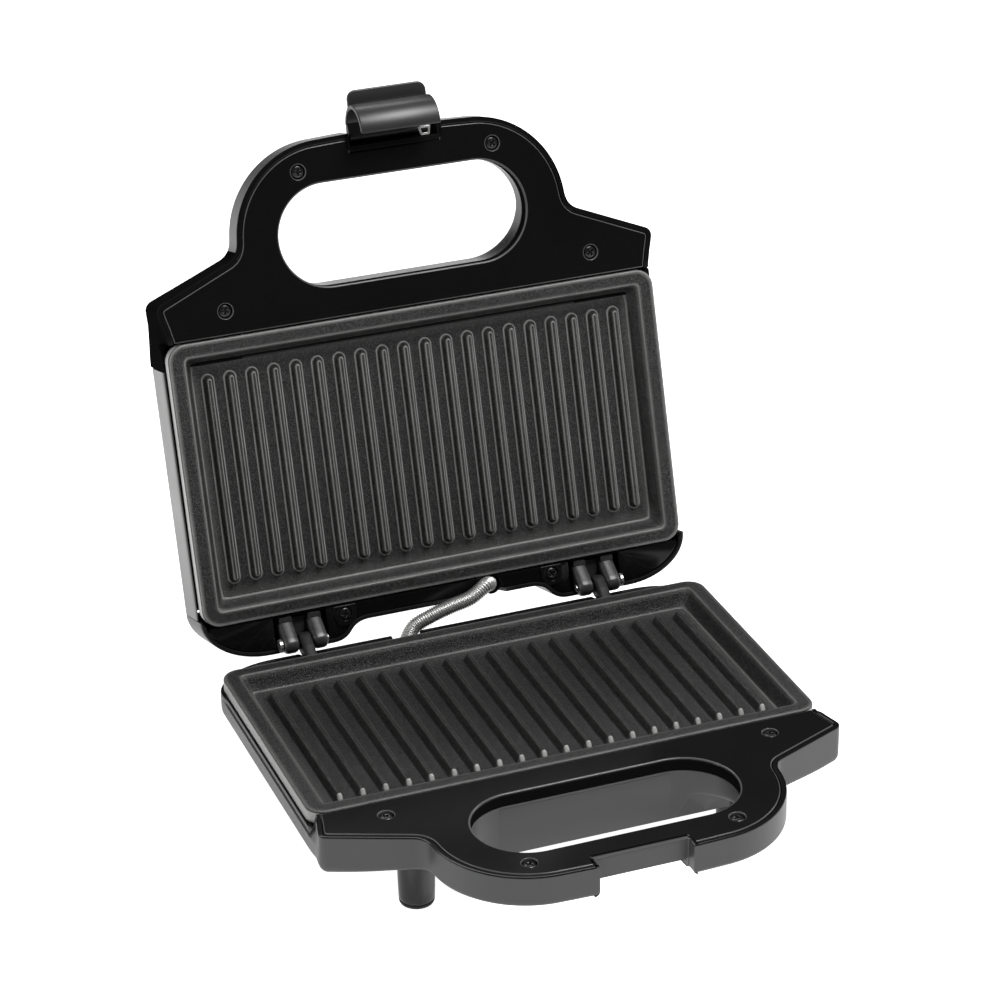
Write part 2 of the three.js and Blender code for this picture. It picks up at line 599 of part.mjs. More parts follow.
/** Glossy face of the handle, with a turned-in flange round the hand hole. */
function handleFace() {
  const outline = inset(handleOutline(4), WALL + GAP);
  const slab = prismZ(outline, 0, FACE_THICKNESS).subtract(block(-130, -0.8, -1, 130, 20, 10));
  const flange = prismZ(holeOutline(WALL), 0, FACE_FLANGE);
  const sinkRadius = SCREW_HEAD_RADIUS + 0.5;
  const sinkEnd = SCREW_HEAD_HEIGHT + 0.2;
  const sinks = HANDLE_SCREWS.map(([x, y]) => barZ(sinkRadius, x, y, -1, sinkEnd, SCREW_SEGMENTS));
  const holes = HANDLE_SCREWS.map(([x, y]) => barZ(SCREW_SHANK_RADIUS + GAP, x, y, -1, 5, 10));
  const stepHalf = NOTCH_HALF_WIDTH + 0.5;
  const step = block(-stepHalf, -90, -1, stepHalf, NOTCH_FACE_Y + WALL + GAP, 10);
  return carve(slab.add(flange), [prismZ(holeOutline(), -1, 10), ...sinks, ...holes, step,
    cornerRelief(-1).translate([1.6, 0, 0]), cornerRelief(1).translate([-1.6, 0, 0])]);
}

/** Round bars along z at the two places where the grill plate is screwed down. */
function platePillars(radius, z0, z1) {
  return [-1, 1].map((side) => barZ(radius, side * PLATE_SCREW_X, PLATE_MIDDLE_Y, z0, z1, 12));
}

/** Cast grill plate: rim, sloped recess, raised ribs and two bosses behind. */
function grillPlate() {
  const half = PLATE_HALF_WIDTH;
  const rim = prismZ(roundedRectangle(-half, 0, half, PLATE_DEPTH, PLATE_CORNER), 0, RIM_HEIGHT);
  const pan = block(-half + 6, 5, 0, half - 6, PLATE_DEPTH - 5, PAN_DEPTH);
  const bosses = platePillars(3.8, PAN_DEPTH - 1, SHIELD_LEVEL - GAP);
  const recess = recessSolid();
  const ribs = [];
  for (let index = 0; index < RIB_COUNT; index += 1) {
    const x = (index - (RIB_COUNT - 1) / 2) * RIB_PITCH;
    ribs.push(ribSolid(x));
  }
  const pilots = platePillars(SCREW_SHANK_RADIUS + GAP, 11.5, 20);
  const body = union([rim, pan, ...bosses]).subtract(recess);
  return carve(union([body, ...ribs]), pilots);
}

/** The recess as a frustum that narrows from the rim to the floor. */
function recessSolid() {
  const level = (margin) => [
    [-PLATE_HALF_WIDTH + RECESS_SIDE + margin, RECESS_END + margin],
    [PLATE_HALF_WIDTH - RECESS_SIDE - margin, RECESS_END + margin],
    [PLATE_HALF_WIDTH - RECESS_SIDE - margin, PLATE_DEPTH - RECESS_END - margin],
    [-PLATE_HALF_WIDTH + RECESS_SIDE + margin, PLATE_DEPTH - RECESS_END - margin],
  ];
  return frustum(level(-RECESS_RUN / RECESS_DEPTH), -1, level(RECESS_RUN), RECESS_DEPTH);
}

/** One rib: wide at the recess floor, narrow at its crest, sloped at both ends. */
function ribSolid(x) {
  const level = (half, end) => [[x - half, RIB_START + end], [x + half, RIB_START + end],
    [x + half, RIB_END - end], [x - half, RIB_END - end]];
  return frustum(level(0.7, 2.4), RECESS_DEPTH - RIB_HEIGHT, level(2.5, 0), RECESS_DEPTH + 0.5);
}

/** A closed solid between two four-sided levels. */
function frustum(lower, z0, upper, z1) {
  const corners = [...lower.map(([x, y]) => [x, y, z0]), ...upper.map(([x, y]) => [x, y, z1])];
  const sides = [0, 1, 2, 3].flatMap((index) => {
    const next = (index + 1) % 4;
    return [index, next, 4 + next, index, 4 + next, 4 + index];
  });
  const geometry = new THREE.BufferGeometry();
  geometry.setAttribute('position', new THREE.Float32BufferAttribute(corners.flat(), 3));
  geometry.setIndex([0, 2, 1, 0, 3, 2, 4, 5, 6, 4, 6, 7, ...sides]);
  return toSolid(geometry);
}

/** Sheathed heating element: one bent tube round the plate's underside. */
function heatingElement() {
  const reach = ELEMENT_REACH;
  const near = ELEMENT_NEAR;
  const far = ELEMENT_FAR;
  const turn = ELEMENT_BEND;
  const endX = ELEMENT_END_X;
  const route = new THREE.Path();
  route.moveTo(-endX, ELEMENT_END);
  route.quadraticCurveTo(-endX, far, -endX - turn, far);
  route.lineTo(-reach + turn, far);
  route.quadraticCurveTo(-reach, far, -reach, far - turn);
  route.lineTo(-reach, near + turn);
  route.quadraticCurveTo(-reach, near, -reach + turn, near);
  route.lineTo(reach - turn, near);
  route.quadraticCurveTo(reach, near, reach, near + turn);
  route.lineTo(reach, far - turn);
  route.quadraticCurveTo(reach, far, reach - turn, far);
  route.lineTo(endX + turn, far);
  route.quadraticCurveTo(endX, far, endX, ELEMENT_END);
  const knots = route.getSpacedPoints(56).map((point) => new THREE.Vector3(point.x, point.y, ELEMENT_LEVEL));
  return tube(knots, ELEMENT_RADIUS, 76);
}

/** A closed round tube through a list of points. */
function tube(knots, radius, steps) {
  const section = new THREE.Shape();
  section.absarc(0, 0, radius, 0, Math.PI * 2, false);
  const path = new THREE.CatmullRomCurve3(knots, false, 'centripetal');
  const options = { steps, bevelEnabled: false, extrudePath: path };
  return toSolid(new THREE.ExtrudeGeometry(new THREE.Shape(section.getPoints(2).slice(0, -1)), options));
}

function heatShield() {
  const sheet = prismZ(roundedRectangle(-106, 8, 106, 119, 6), SHIELD_LEVEL, SHIELD_LEVEL + SHIELD_THICKNESS);
  return carve(sheet, platePillars(SCREW_SHANK_RADIUS + GAP, 10, 25));
}

/** The two slots of a cross recess, from z0 to z1. */
function crossSlots(z0, z1) {
  const long = SLOT_HALF_LENGTH;
  const wide = SLOT_HALF_WIDTH;
  return [block(-long, -wide, z0, long, wide, z1), block(-wide, -long, z0, wide, long, z1)];
}

/** Cross-recessed screw whose head faces -z, head top at z = level. */
function screw(x, y, level) {
  const profile = points([[0, 0], [SCREW_HEAD_RADIUS - 0.7, 0], [SCREW_HEAD_RADIUS, 0.6],
    [SCREW_HEAD_RADIUS, SCREW_HEAD_HEIGHT], [SCREW_SHANK_RADIUS, SCREW_HEAD_HEIGHT],
    [SCREW_SHANK_RADIUS, SCREW_LENGTH - 1], [0, SCREW_LENGTH]]);
  const body = toSolid(new THREE.LatheGeometry(profile, SCREW_SEGMENTS).rotateX(Math.PI / 2));
  return carve(body, crossSlots(-1, SLOT_DEPTH)).translate([x, y, level]);
}

/** Screw from the outer side whose head faces +z, head top at z = level. */
function outerScrew(x, y, level) {
  return screw(0, 0, 0).rotate([180, 0, 0]).translate([x, y, level]);
}

/** Adds the pieces that the two halves have in common. */
function addCommonPieces(group, prefix, mirror) {
  group.add(piece(`${prefix}_handle_face`, handleFace(), glossPlastic()));
  group.add(piece(`${prefix}_grill_plate`, grillPlate(), castNonStick()));
  group.add(piece(`${prefix}_heating_element`, heatingElement(), zincSteel()));
  group.add(piece(`${prefix}_heat_shield`, heatShield(), brushedSteel()));
  const places = ['wing_left', 'wing_right', 'loop_left', 'loop_right'];
  places.forEach((place, index) => {
    const [x, y] = HANDLE_SCREWS[index];
    group.add(piece(`${prefix}_screw_${place}`, screw(mirror * x, y, 0.2), darkSteel()));
  });
}

const sideName = (side) => (side < 0 ? 'left' : 'right');

function buildLid() {
  const lid = new THREE.Group();
  addCommonPieces(lid, 'lid', 1);
  lid.add(piece('lid_front_shell', lidFrontShell(), satinPlastic()));
  lid.add(piece('lid_cover', lidCover(), brushedSteel()));
  lid.add(piece('lid_rear_shell', lidRearShell(), satinPlastic()));
  lid.add(piece('lid_thermostat', thermostat(), zincSteel()));
  lid.add(piece('lid_conduit_collar', lidCollar(), blackRubber()));
  lid.add(piece('latch', latchSolid(), satinPlastic()));
  const latchPin = barX(PIN_RADIUS - 0.4, LATCH_PIVOT_Y, LATCH_PIVOT_Z, -22.6, 22.6, 12);
  lid.add(piece('latch_pin', latchPin, zincSteel()));
  for (const side of [-1, 1]) {
    const name = sideName(side);
    lid.add(piece(`lid_rear_screw_${name}`, screw(side * REAR_SCREW_X, REAR_SCREW_Y, 0), darkSteel()));
    lid.add(piece(`lid_plate_screw_${name}`, plateScrew(side), zincSteel()));
    lid.add(piece(`lid_hinge_bracket_${name}`, lidHingeBracket(side), darkSteel()));
  }
  const lenses = [['power_lens', -LENS_X, 0x8c1510], ['ready_lens', LENS_X, 0x1f6b2a]];
  for (const [name, x, colour] of lenses) {
    lid.add(piece(name, lens(x, LENS_Y), finish(colour, 0.15, 0)));
  }
  return lid;
}

function thermostat() {
  return barZ(9, 0, PLATE_MIDDLE_Y, PAN_DEPTH + GAP, SHIELD_LEVEL - GAP, 20);
}

/** Short screw that holds the heat shield and the lid's grill plate together. */
function plateScrew(side) {
  const level = SHIELD_LEVEL + SHIELD_THICKNESS + GAP + SCREW_HEAD_HEIGHT;
  const kept = block(-BEYOND, -BEYOND, 12, BEYOND, BEYOND, 40);
  return outerScrew(side * PLATE_SCREW_X, PLATE_MIDDLE_Y, level).intersect(kept);
}

/** Indicator lens: a flanged plug from inside with a low dome outside. */
function lens(x, y) {
  const profile = points([[0, 24.8], [4.4, 24.8], [4.4, 26.2], [3, 26.2], [3, LID_DEPTH],
    [1.8, LID_DEPTH + 0.8], [0, LID_DEPTH + 1]]);
  return toSolid(new THREE.LatheGeometry(profile, 16).rotateX(Math.PI / 2)).translate([x, y, 0]);
}

function lidCollar() {
  const ring = barZ(4.7, CONDUIT_LID_X, 128.7, COLLAR_LEVEL, COLLAR_LEVEL + COLLAR_HEIGHT, 16);
  return ring.subtract(barZ(CONDUIT_RADIUS + GAP + 0.1, CONDUIT_LID_X, 128.7, 0, 30, 16));
}

function buildBase() {
  const base = new THREE.Group();
  addCommonPieces(base, 'base', -1);
  base.add(piece('base_housing', baseHousing(), satinPlastic()));
  base.add(piece('cord_gland', cordGland(), blackRubber()));
  base.add(piece('terminal_block', block(-13, 96, 19.2, 13, 110, 26.5), finish(0xd8d4c8, 0.6, 0)));
  for (const side of [-1, 1]) {
    const name = sideName(-side);
    base.add(piece(`base_plate_screw_${name}`, baseScrew(side), darkSteel()));
    base.add(piece(`base_hinge_knuckle_${name}`, baseHingeKnuckle(side), darkSteel()));
    base.add(piece(`hinge_pin_${name}`, hingePin(side), zincSteel()));
  }
  footPlaces().forEach(([x, y]) => {
    const place = `${y < PLATE_MIDDLE_Y ? 'front' : 'rear'}_${sideName(-x)}`;
    base.add(piece(`foot_${place}`, foot(x, y), satinPlastic()));
    base.add(piece(`foot_pad_${place}`, footPad(x, y), blackRubber()));
  });
  return base;
}

/** Long screw that comes up through the base into the grill plate's boss. */
function baseScrew(side) {
  const x = side * PLATE_SCREW_X;
  const head = barZ(SCREW_HEAD_RADIUS, 0, 0, BASE_SCREW_HEAD, BASE_SCREW_TOP, SCREW_SEGMENTS);
  const shank = barZ(SCREW_SHANK_RADIUS, 0, 0, 12, BASE_SCREW_TOP - 0.6, 10);
  return carve(head.add(shank), crossSlots(BASE_SCREW_TOP - 1, 30)).translate([x, PLATE_MIDDLE_Y, 0]);
}

/** Hinge pin with a flat head at its outer end. */
function hingePin(side) {
  const centre = side * HINGE_X;
  const outer = centre + side * 11.9;
  const neck = centre + side * (10.4 + GAP);
  const tail = centre - side * 11;
  const shank = barX(PIN_RADIUS, HINGE_Y, HINGE_DROP, Math.min(tail, neck), Math.max(tail, neck), 12);
  return shank.add(barX(3, HINGE_Y, HINGE_DROP, Math.min(neck, outer), Math.max(neck, outer), 14));
}

/** Grommet in the base's rear wall, bored along the sleeve's own route. */
function baseCollar(route) {
  const reach = 5.7;
  const grommet = block(CONDUIT_BASE_X - reach, 134.8, -14.2, CONDUIT_BASE_X + reach, 138.2, -BASE_REAR_RIM - 0.2);
  return grommet.subtract(tube(route, CONDUIT_RADIUS + GAP, 40));
}

function footPad(x, y) {
  return barZ(PAD_RADIUS, x, y, FLOOR_LEVEL - PAD_HEIGHT, FLOOR_LEVEL, 24);
}

/** Route of the spring-covered wiring sleeve from the lid's collar to the base, with the lid open. */
function conduitRoute(lidFrame) {
  const inLid = [[CONDUIT_LID_X, 128.7, 15], [CONDUIT_LID_X, 128.75, 10.6], [20.4, 131.2, 3.6]];
  const between = [[16.6, 142.4, 8.7], [8.3, 139.6, 5.4], [-1.8, 139, 3.2], [-11.4, 139.2, 0.1],
    [-19.2, 139.8, -4]];
  const inBase = [[CONDUIT_BASE_X, 136.4, -8.8], [CONDUIT_BASE_X - 0.6, 132.6, -10.6]];
  return [
    ...inLid.map((place) => new THREE.Vector3(...place).applyMatrix4(lidFrame)),
    ...between.map((place) => new THREE.Vector3(...place)),
    ...inBase.map((place) => new THREE.Vector3(...place)),
  ];
}

// ---- assembly ----

/** Places the lid's own frame: closed it lies on the base, then it swings back on the hinge. */
function lidPlacement() {
  const toAxis = new THREE.Matrix4().makeTranslation(0, -HINGE_Y, HINGE_DROP + CLOSED_GAP);
  const swing = new THREE.Matrix4().makeRotationX(THREE.MathUtils.degToRad(-LID_OPEN_DEGREES));
  const back = new THREE.Matrix4().makeTranslation(0, HINGE_Y, -HINGE_DROP);
  return back.multiply(swing).multiply(toAxis);
}

const press = new THREE.Group();
const model = new THREE.Group();
press.add(model);

const base = buildBase();
base.rotation.y = Math.PI;
model.add(base);

const lid = buildLid();
const lidFrame = lidPlacement();
lid.applyMatrix4(lidFrame);
model.add(lid);

const sleeveRoute = conduitRoute(lidFrame);
model.add(piece('wiring_conduit', tube(sleeveRoute, CONDUIT_RADIUS, 40), zincSteel()));
model.add(piece('base_conduit_collar', baseCollar(sleeveRoute), blackRubber()));

// The origin is on the floor, under the middle of the open press.
press.updateMatrixWorld(true);
const bounds = new THREE.Box3().setFromObject(press, true);
const middle = bounds.getCenter(new THREE.Vector3());
model.position.set(-middle.x, -middle.y, -bounds.min.z);
press.updateMatrixWorld(true);

export default press;
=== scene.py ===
"""Panini press, standing open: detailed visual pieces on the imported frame.

Sizes are in millimetres in each half's own frame: x across, y from the grill plate's handle edge
towards the hinge, z out of the mating face into the half's depth.
"""

import bisect
import json
import logging
import math
from dataclasses import dataclass, field
from enum import Enum
from typing import Callable, Iterable, Optional, Sequence

import bmesh
import bpy
from mathutils import Matrix, Vector
from mathutils.geometry import delaunay_2d_cdt

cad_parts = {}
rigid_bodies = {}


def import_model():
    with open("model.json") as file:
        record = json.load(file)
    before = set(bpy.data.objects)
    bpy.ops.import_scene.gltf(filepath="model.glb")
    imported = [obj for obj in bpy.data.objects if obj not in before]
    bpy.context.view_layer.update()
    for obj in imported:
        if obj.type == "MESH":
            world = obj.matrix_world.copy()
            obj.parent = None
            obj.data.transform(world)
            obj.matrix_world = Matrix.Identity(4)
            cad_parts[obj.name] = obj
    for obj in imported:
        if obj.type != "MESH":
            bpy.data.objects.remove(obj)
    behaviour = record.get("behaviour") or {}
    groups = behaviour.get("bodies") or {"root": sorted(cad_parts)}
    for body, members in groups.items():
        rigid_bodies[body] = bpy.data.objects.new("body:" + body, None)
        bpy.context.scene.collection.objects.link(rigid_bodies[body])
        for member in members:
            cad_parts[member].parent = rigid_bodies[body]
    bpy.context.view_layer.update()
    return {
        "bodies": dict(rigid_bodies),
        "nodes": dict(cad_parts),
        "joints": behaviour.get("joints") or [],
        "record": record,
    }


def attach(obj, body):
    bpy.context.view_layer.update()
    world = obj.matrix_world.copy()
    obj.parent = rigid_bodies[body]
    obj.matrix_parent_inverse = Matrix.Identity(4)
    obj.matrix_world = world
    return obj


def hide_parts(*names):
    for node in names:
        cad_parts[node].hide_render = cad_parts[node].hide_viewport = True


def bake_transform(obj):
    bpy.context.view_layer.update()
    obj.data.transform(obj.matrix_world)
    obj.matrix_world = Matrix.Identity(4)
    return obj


LOG = logging.getLogger("panini_press")
MM = 0.001

# The half frame's y = 0 line and mating face, in the row frame.
PLATE_EDGE_ROW = 70.055
MATING_LEVEL = 48.0
HINGE_Y = 140.33
HINGE_DROP = 0.76
CLOSED_GAP = 0.8
LID_OPEN_DEGREES = 107.16

PLATE_HALF_WIDTH = 115.0
PLATE_DEPTH = 127.0
BODY_HALF_WIDTH = 116.5
WALL = 2.4
GAP = 0.3
BODY_RIM = 6.5
LOOP_X = 35.3
LOOP_Y = -37.7
LOOP_RADIUS = 42.0
HOLE_RADIUS = 22.8
NOTCH_HALF_WIDTH = 20.5
NOTCH_FACE_Y = -74.5
HINGE_X = 70.9
FOOT_X = 72.5
FOOT_ROWS = {"front": -7.0, "rear": 129.0}
SLEEVE_LID_X = 20.5
SLEEVE_BASE_X = 24.0
EAR_X = 49.9
EAR_Y = 131.9
SWEEP_X = 30.0
SWEEP_Y = 20.0
WING_X = 117.4
WING_Y = -17.4
COARSE = 400.0
HANDLE_SCREWS = ((-86.4, -11.4), (86.4, -11.4), (-45.6, -66.8), (45.6, -66.8))

Point = tuple[float, float]
Place = tuple[float, float, float]
Corner = tuple[float, float, float]


class Half(Enum):
    """The two halves of the press, each named after the body that it rides on."""

    BASE = "base"
    LID = "lid"

    def frame(self) -> Matrix:
        """Gives the half frame's place in the row frame.

        Returns:
            A matrix from half-frame millimetres to row-frame metres.
        """
        scale = Matrix.Scale(MM, 4)
        if self is Half.BASE:
            turn = Matrix.Rotation(math.pi, 4, "Y")
            return scale @ Matrix.Translation((0, -PLATE_EDGE_ROW, MATING_LEVEL)) @ turn
        back = Matrix.Translation((0, HINGE_Y - PLATE_EDGE_ROW, MATING_LEVEL - HINGE_DROP))
        swing = Matrix.Rotation(math.radians(-LID_OPEN_DEGREES), 4, "X")
        to_axis = Matrix.Translation((0, -HINGE_Y, HINGE_DROP + CLOSED_GAP))
        return scale @ back @ swing @ to_axis


def smooth(low: float, high: float, value: float) -> float:
    """Eases from 0 at low to 1 at high.

    Args:
        low: Where the result leaves 0.
        high: Where the result reaches 1.
        value: The value to place between them.

    Returns:
        The eased share, from 0 to 1.
    """
    share = min(1.0, max(0.0, (value - low) / (high - low)))
    return share * share * (3 - 2 * share)


def interpolate(knots: Sequence[Point], value: float) -> float:
    """Reads a broken line.

    Args:
        knots: Its corners, in rising order.
        value: Where to read it.

    Returns:
        The line's height there.
    """
    places = [knot[0] for knot in knots]
    index = bisect.bisect(places, value)
    if index == 0:
        return knots[0][1]
    if index == len(knots):
        return knots[-1][1]
    (x0, y0), (x1, y1) = knots[index - 1], knots[index]
    return y0 + (y1 - y0) * (value - x0) / (x1 - x0)


def softened(knots: Sequence[Point], value: float, reach: float) -> float:
    """Reads a broken line with its corners rounded off over a reach either side."""
    steps = (-1.0, -0.6, -0.2, 0.2, 0.6, 1.0)
    return sum(interpolate(knots, value + reach * step) for step in steps) / len(steps)


# ---- outlines ----


def oblong(x0: float, y0: float, x1: float, y1: float, radius: float) -> list[Corner]:
    """Corners of an upright rectangle.

    Args:
        x0: Its left side.
        y0: Its near side.
        x1: Its right side.
        y1: Its far side.
        radius: The corners' radius.

    Returns:
        The four corners, anticlockwise.
    """
    return [(x0, y0, radius), (x1, y0, radius), (x1, y1, radius), (x0, y1, radius)]


def arc(centre: Point, radius: float, start: float, end: float, count: int) -> list[Point]:
    """Points along a circle's arc, ends included.

    Args:
        centre: The circle's middle.
        radius: The circle's radius.
        start: First angle, in degrees.
        end: Last angle, in degrees.
        count: How many steps to take.

    Returns:
        count + 1 points.
    """
    angles = [math.radians(start + (end - start) * step / count) for step in range(count + 1)]
    return [(centre[0] + radius * math.cos(a), centre[1] + radius * math.sin(a)) for a in angles]


def bend(start: Point, control: Point, end: Point, count: int) -> list[Point]:
    """Points along a quadratic curve, ends included.

    Args:
        start: Where the curve starts.
        control: The point that it bends towards.
        end: Where it ends.
        count: How many steps to take.

    Returns:
        count + 1 points.
    """
    found = []
    for step in range(count + 1):
        t = step / count
        a, b, c = (1 - t) ** 2, 2 * t * (1 - t), t * t
        found.append(tuple(a * start[k] + b * control[k] + c * end[k] for k in (0, 1)))
    return found


def sharp(points: Iterable[Point]) -> list[Corner]:
    """Marks points as corners that need no rounding."""
    return [(x, y, 0.0) for x, y in points]


def rounded(corners: Sequence[Corner], step: float = 3.0) -> list[Point]:
    """Rounds the corners of a closed outline and fills its long edges with points.

    Args:
        corners: Each corner with its radius.
        step: The longest edge to leave.

    Returns:
        The outline's points, in order.
    """
    found: list[Vector] = []
    count = len(corners)
    for index, (x, y, radius) in enumerate(corners):
        here = Vector((x, y))
        if radius <= 0:
            found.append(here)
            continue
        before = Vector(corners[index - 1][:2]) - here
        after = Vector(corners[(index + 1) % count][:2]) - here
        limit = 0.49 * min(before.length, after.length)
        before.normalize()
        after.normalize()
        opening = before.angle(after)
        if opening > math.radians(178):
            found.append(here)
            continue
        run = min(radius / math.tan(opening / 2), limit)
        real = run * math.tan(opening / 2)
        middle = here + (before + after).normalized() * (real / math.sin(opening / 2))
        first = here + before * run - middle
        sweep = math.pi - opening
        turn = 1 if before.x * after.y - before.y * after.x < 0 else -1
        steps = max(2, math.ceil(math.degrees(sweep) / 12))
        for part in range(steps + 1):
            angle = turn * sweep * part / steps
            spun = Matrix.Rotation(angle, 2) @ first
            found.append(middle + spun)
    dense: list[Point] = []
    for index, here in enumerate(found):
        after = found[(index + 1) % len(found)]
        parts = max(1, math.ceil((after - here).length / step))
        for part in range(parts):
            mixed = here.lerp(after, part / parts)
            if not dense or (Vector(dense[-1]) - mixed).length > 1e-3:
                dense.append((mixed.x, mixed.y))
    if (Vector(dense[0]) - Vector(dense[-1])).length < 1e-3:
        dense.pop()
    return dense


def area(points: Sequence[Point]) -> float:
    """Signed area of a closed outline, above 0 when it runs anticlockwise.

    Args:
        points: The outline's points, in order.

    Returns:
        The signed area.
    """
    total = 0.0
    for index, (x, y) in enumerate(points):
        ahead = points[(index + 1) % len(points)]
        total += x * ahead[1] - ahead[0] * y
    return total / 2


def inside(points: Sequence[Point], x: float, y: float) -> bool:
    """Says whether a point lies in a closed outline.

    Args:
        points: The outline's points, in order.
        x: The point's first place.
        y: The point's second place.

    Returns:
        Whether it does.
    """
    found = False
    for index, (x0, y0) in enumerate(points):
        x1, y1 = points[index - 1]
        if (y0 > y) != (y1 > y) and x < (x1 - x0) * (y - y0) / (y1 - y0) + x0:
            found = not found
    return found


def inward(points: Sequence[Point]) -> list[Vector]:
    """Mitred normals that point to the left of an outline's direction of travel.

    Args:
        points: The outline's points, in order.

    Returns:
        One normal for each point.
    """
    normals = []
    count = len(points)
    for index, here in enumerate(points):
        before = (Vector(here) - Vector(points[index - 1])).normalized()
        after = (Vector(points[(index + 1) % count]) - Vector(here)).normalized()
        left = Vector((-before.y - after.y, before.x + after.x)).normalized()
        share = left.dot(Vector((-before.y, before.x)))
        normals.append(left / max(share, 0.6))
    return normals


@dataclass
class Loop:
    """A closed outline with the direction into the material at each point."""

    points: list[Point]
    hole: bool = False
    into: list[Vector] = field(default_factory=list)

    def __post_init__(self) -> None:
        """Turns the outline so that the material lies on its left."""
        if (area(self.points) < 0) != self.hole:
            self.points = list(reversed(self.points))
        self.into = inward(self.points)


# ---- meshes ----

Rows = Callable[[float, float], Sequence[Point]]
Level = Callable[[float, float], float]
Warp = Callable[[float, float, float], Place]


class Form:
    """A mesh under construction, in half-frame millimetres."""

    def __init__(self) -> None:
        """Starts empty."""
        self.places: list[Place] = []
        self.faces: list[tuple[int, ...]] = []
        self.kinds: list[int] = []
        # Per-point strength of the light edge lines, partly wear and partly painted highlight.
        self.wear_and_highlight: dict[int, float] = {}

    def add(self, place: Place) -> int:
        """Adds a point and gives its number."""
        self.places.append(tuple(place))
        return len(self.places) - 1

    def face(self, corners: Sequence[int], kind: int = 0) -> None:
        """Adds a face with the number of its finish.

        Args:
            corners: The face's points, in order.
            kind: The finish's number.
        """
        if len(set(corners)) > 2:
            self.faces.append(tuple(corners))
            self.kinds.append(kind)

    def ring(self, places: Sequence[Place]) -> list[int]:
        """Adds a run of points."""
        return [self.add(place) for place in places]

    def band(self, first: Sequence[int], second: Sequence[int], kind: int = 0, closed: bool = True) -> None:
        """Joins two equal rings with four-sided faces.

        Args:
            first: One ring's points.
            second: The other ring's points.
            kind: The finish's number.
            closed: Whether the rings close on themselves.
        """
        count = len(first)
        for index in range(count if closed else count - 1):
            ahead = (index + 1) % count
            self.face((first[index], first[ahead], second[ahead], second[index]), kind)

    def stack(self, rings: Sequence[Sequence[int]], kind: int = 0, closed: bool = True) -> None:
        """Joins a row of equal rings."""
        for first, second in zip(rings, rings[1:]):
            self.band(first, second, kind, closed)

    def fan(self, ring: Sequence[int], middle: Place, kind: int = 0) -> None:
        """Closes a ring with a point at its middle.

        Args:
            ring: The ring's points.
            middle: The closing point.
            kind: The finish's number.
        """
        centre = self.add(middle)
        for index, corner in enumerate(ring):
            self.face((corner, ring[(index + 1) % len(ring)], centre), kind)

    def cap(self, rings: Sequence[Sequence[int]], level: Level, step: float, kind: int = 0,
            warp: Optional[Warp] = None) -> None:
        """Fills the area inside the first ring and outside the others.

        Args:
            rings: The outer ring, then each hole's ring.
            level: Height of the filling at a place.
            step: Distance between the filling's inner points.
            kind: The finish's number.
            warp: A last change to each inner point.
        """
        flat = [[self.places[index][:2] for index in ring] for ring in rings]
        numbers = [index for ring in rings for index in ring]
        spots = [Vector(place) for outline in flat for place in outline]
        edges = []
        start = 0
        for outline in flat:
            count = len(outline)
            edges += [(start + index, start + (index + 1) % count) for index in range(count)]
            start += count
        xs = [place[0] for place in flat[0]]
        ys = [place[1] for place in flat[0]]
        margin = step * 0.45
        columns = int((max(xs) - min(xs)) / step)
        for column in range(1, columns + 1):
            x = min(xs) + (max(xs) - min(xs)) * column / (columns + 1)
            for row in range(1, int((max(ys) - min(ys)) / step) + 1):
                y = min(ys) + (row + 0.5 * (column % 2)) * step
                around = [(x + margin * dx, y + margin * dy) for dx, dy in ((1, 0), (-1, 0), (0, 1), (0, -1))]
                if all(inside(flat[0], *near) for near in around) and not any(
                        inside(hole, *near) for hole in flat[1:] for near in around):
                    spots.append(Vector((x, y)))
        found, _, triangles, origins, _, _ = delaunay_2d_cdt(spots, edges, [], 0, 1e-5)
        names = []
        for spot, origin in zip(found, origins):
            known = [index for index in origin if index < len(numbers)]
            if known:
                names.append(numbers[known[0]])
                continue
            place = (spot.x, spot.y, level(spot.x, spot.y))
            names.append(self.add(warp(*place) if warp else place))
        for corners in triangles:
            x = sum(found[index].x for index in corners) / 3
            y = sum(found[index].y for index in corners) / 3
            if inside(flat[0], x, y) and not any(inside(hole, x, y) for hole in flat[1:]):
                self.face([names[index] for index in corners], kind)

    def build(self, name: str, half: Half, finishes: Sequence["Finish"], crease: float = 38.0,
              frame: Optional[Matrix] = None) -> bpy.types.Object:
        """Turns the form into an object in the row frame.

        Args:
            name: The piece's name.
            half: The half that it belongs to.
            finishes: Its finishes, in the order of the faces' numbers.
            crease: Edges sharper than this many degrees stay sharp.
            frame: Another frame than the half's own.

        Returns:
            The new object, which rides on nothing yet.
        """
        mesh = bpy.data.meshes.new(name)
        mesh.from_pydata(self.places, [], self.faces)
        for finish in finishes:
            mesh.materials.append(finish.material())
        mesh.polygons.foreach_set("material_index", self.kinds)
        # The light edge lines, painted highlight with some wear, go to the mesh as a point attribute.
        if self.wear_and_highlight:
            shares = mesh.attributes.new("wear_and_highlight", "FLOAT", "POINT")
            values = [self.wear_and_highlight.get(index, 0.0) for index in range(len(self.places))]
            shares.data.foreach_set("value", values)
        work = bmesh.new()
        work.from_mesh(mesh)
        bmesh.ops.remove_doubles(work, verts=work.verts, dist=2e-3)
        bmesh.ops.recalc_face_normals(work, faces=work.faces)
        work.to_mesh(mesh)
        work.free()
        mesh.transform(frame or half.frame())
        mesh.shade_smooth()
        mesh.set_sharp_from_angle(angle=math.radians(crease))
        piece = bpy.data.objects.new(name, mesh)
        bpy.context.scene.collection.objects.link(piece)
        return piece


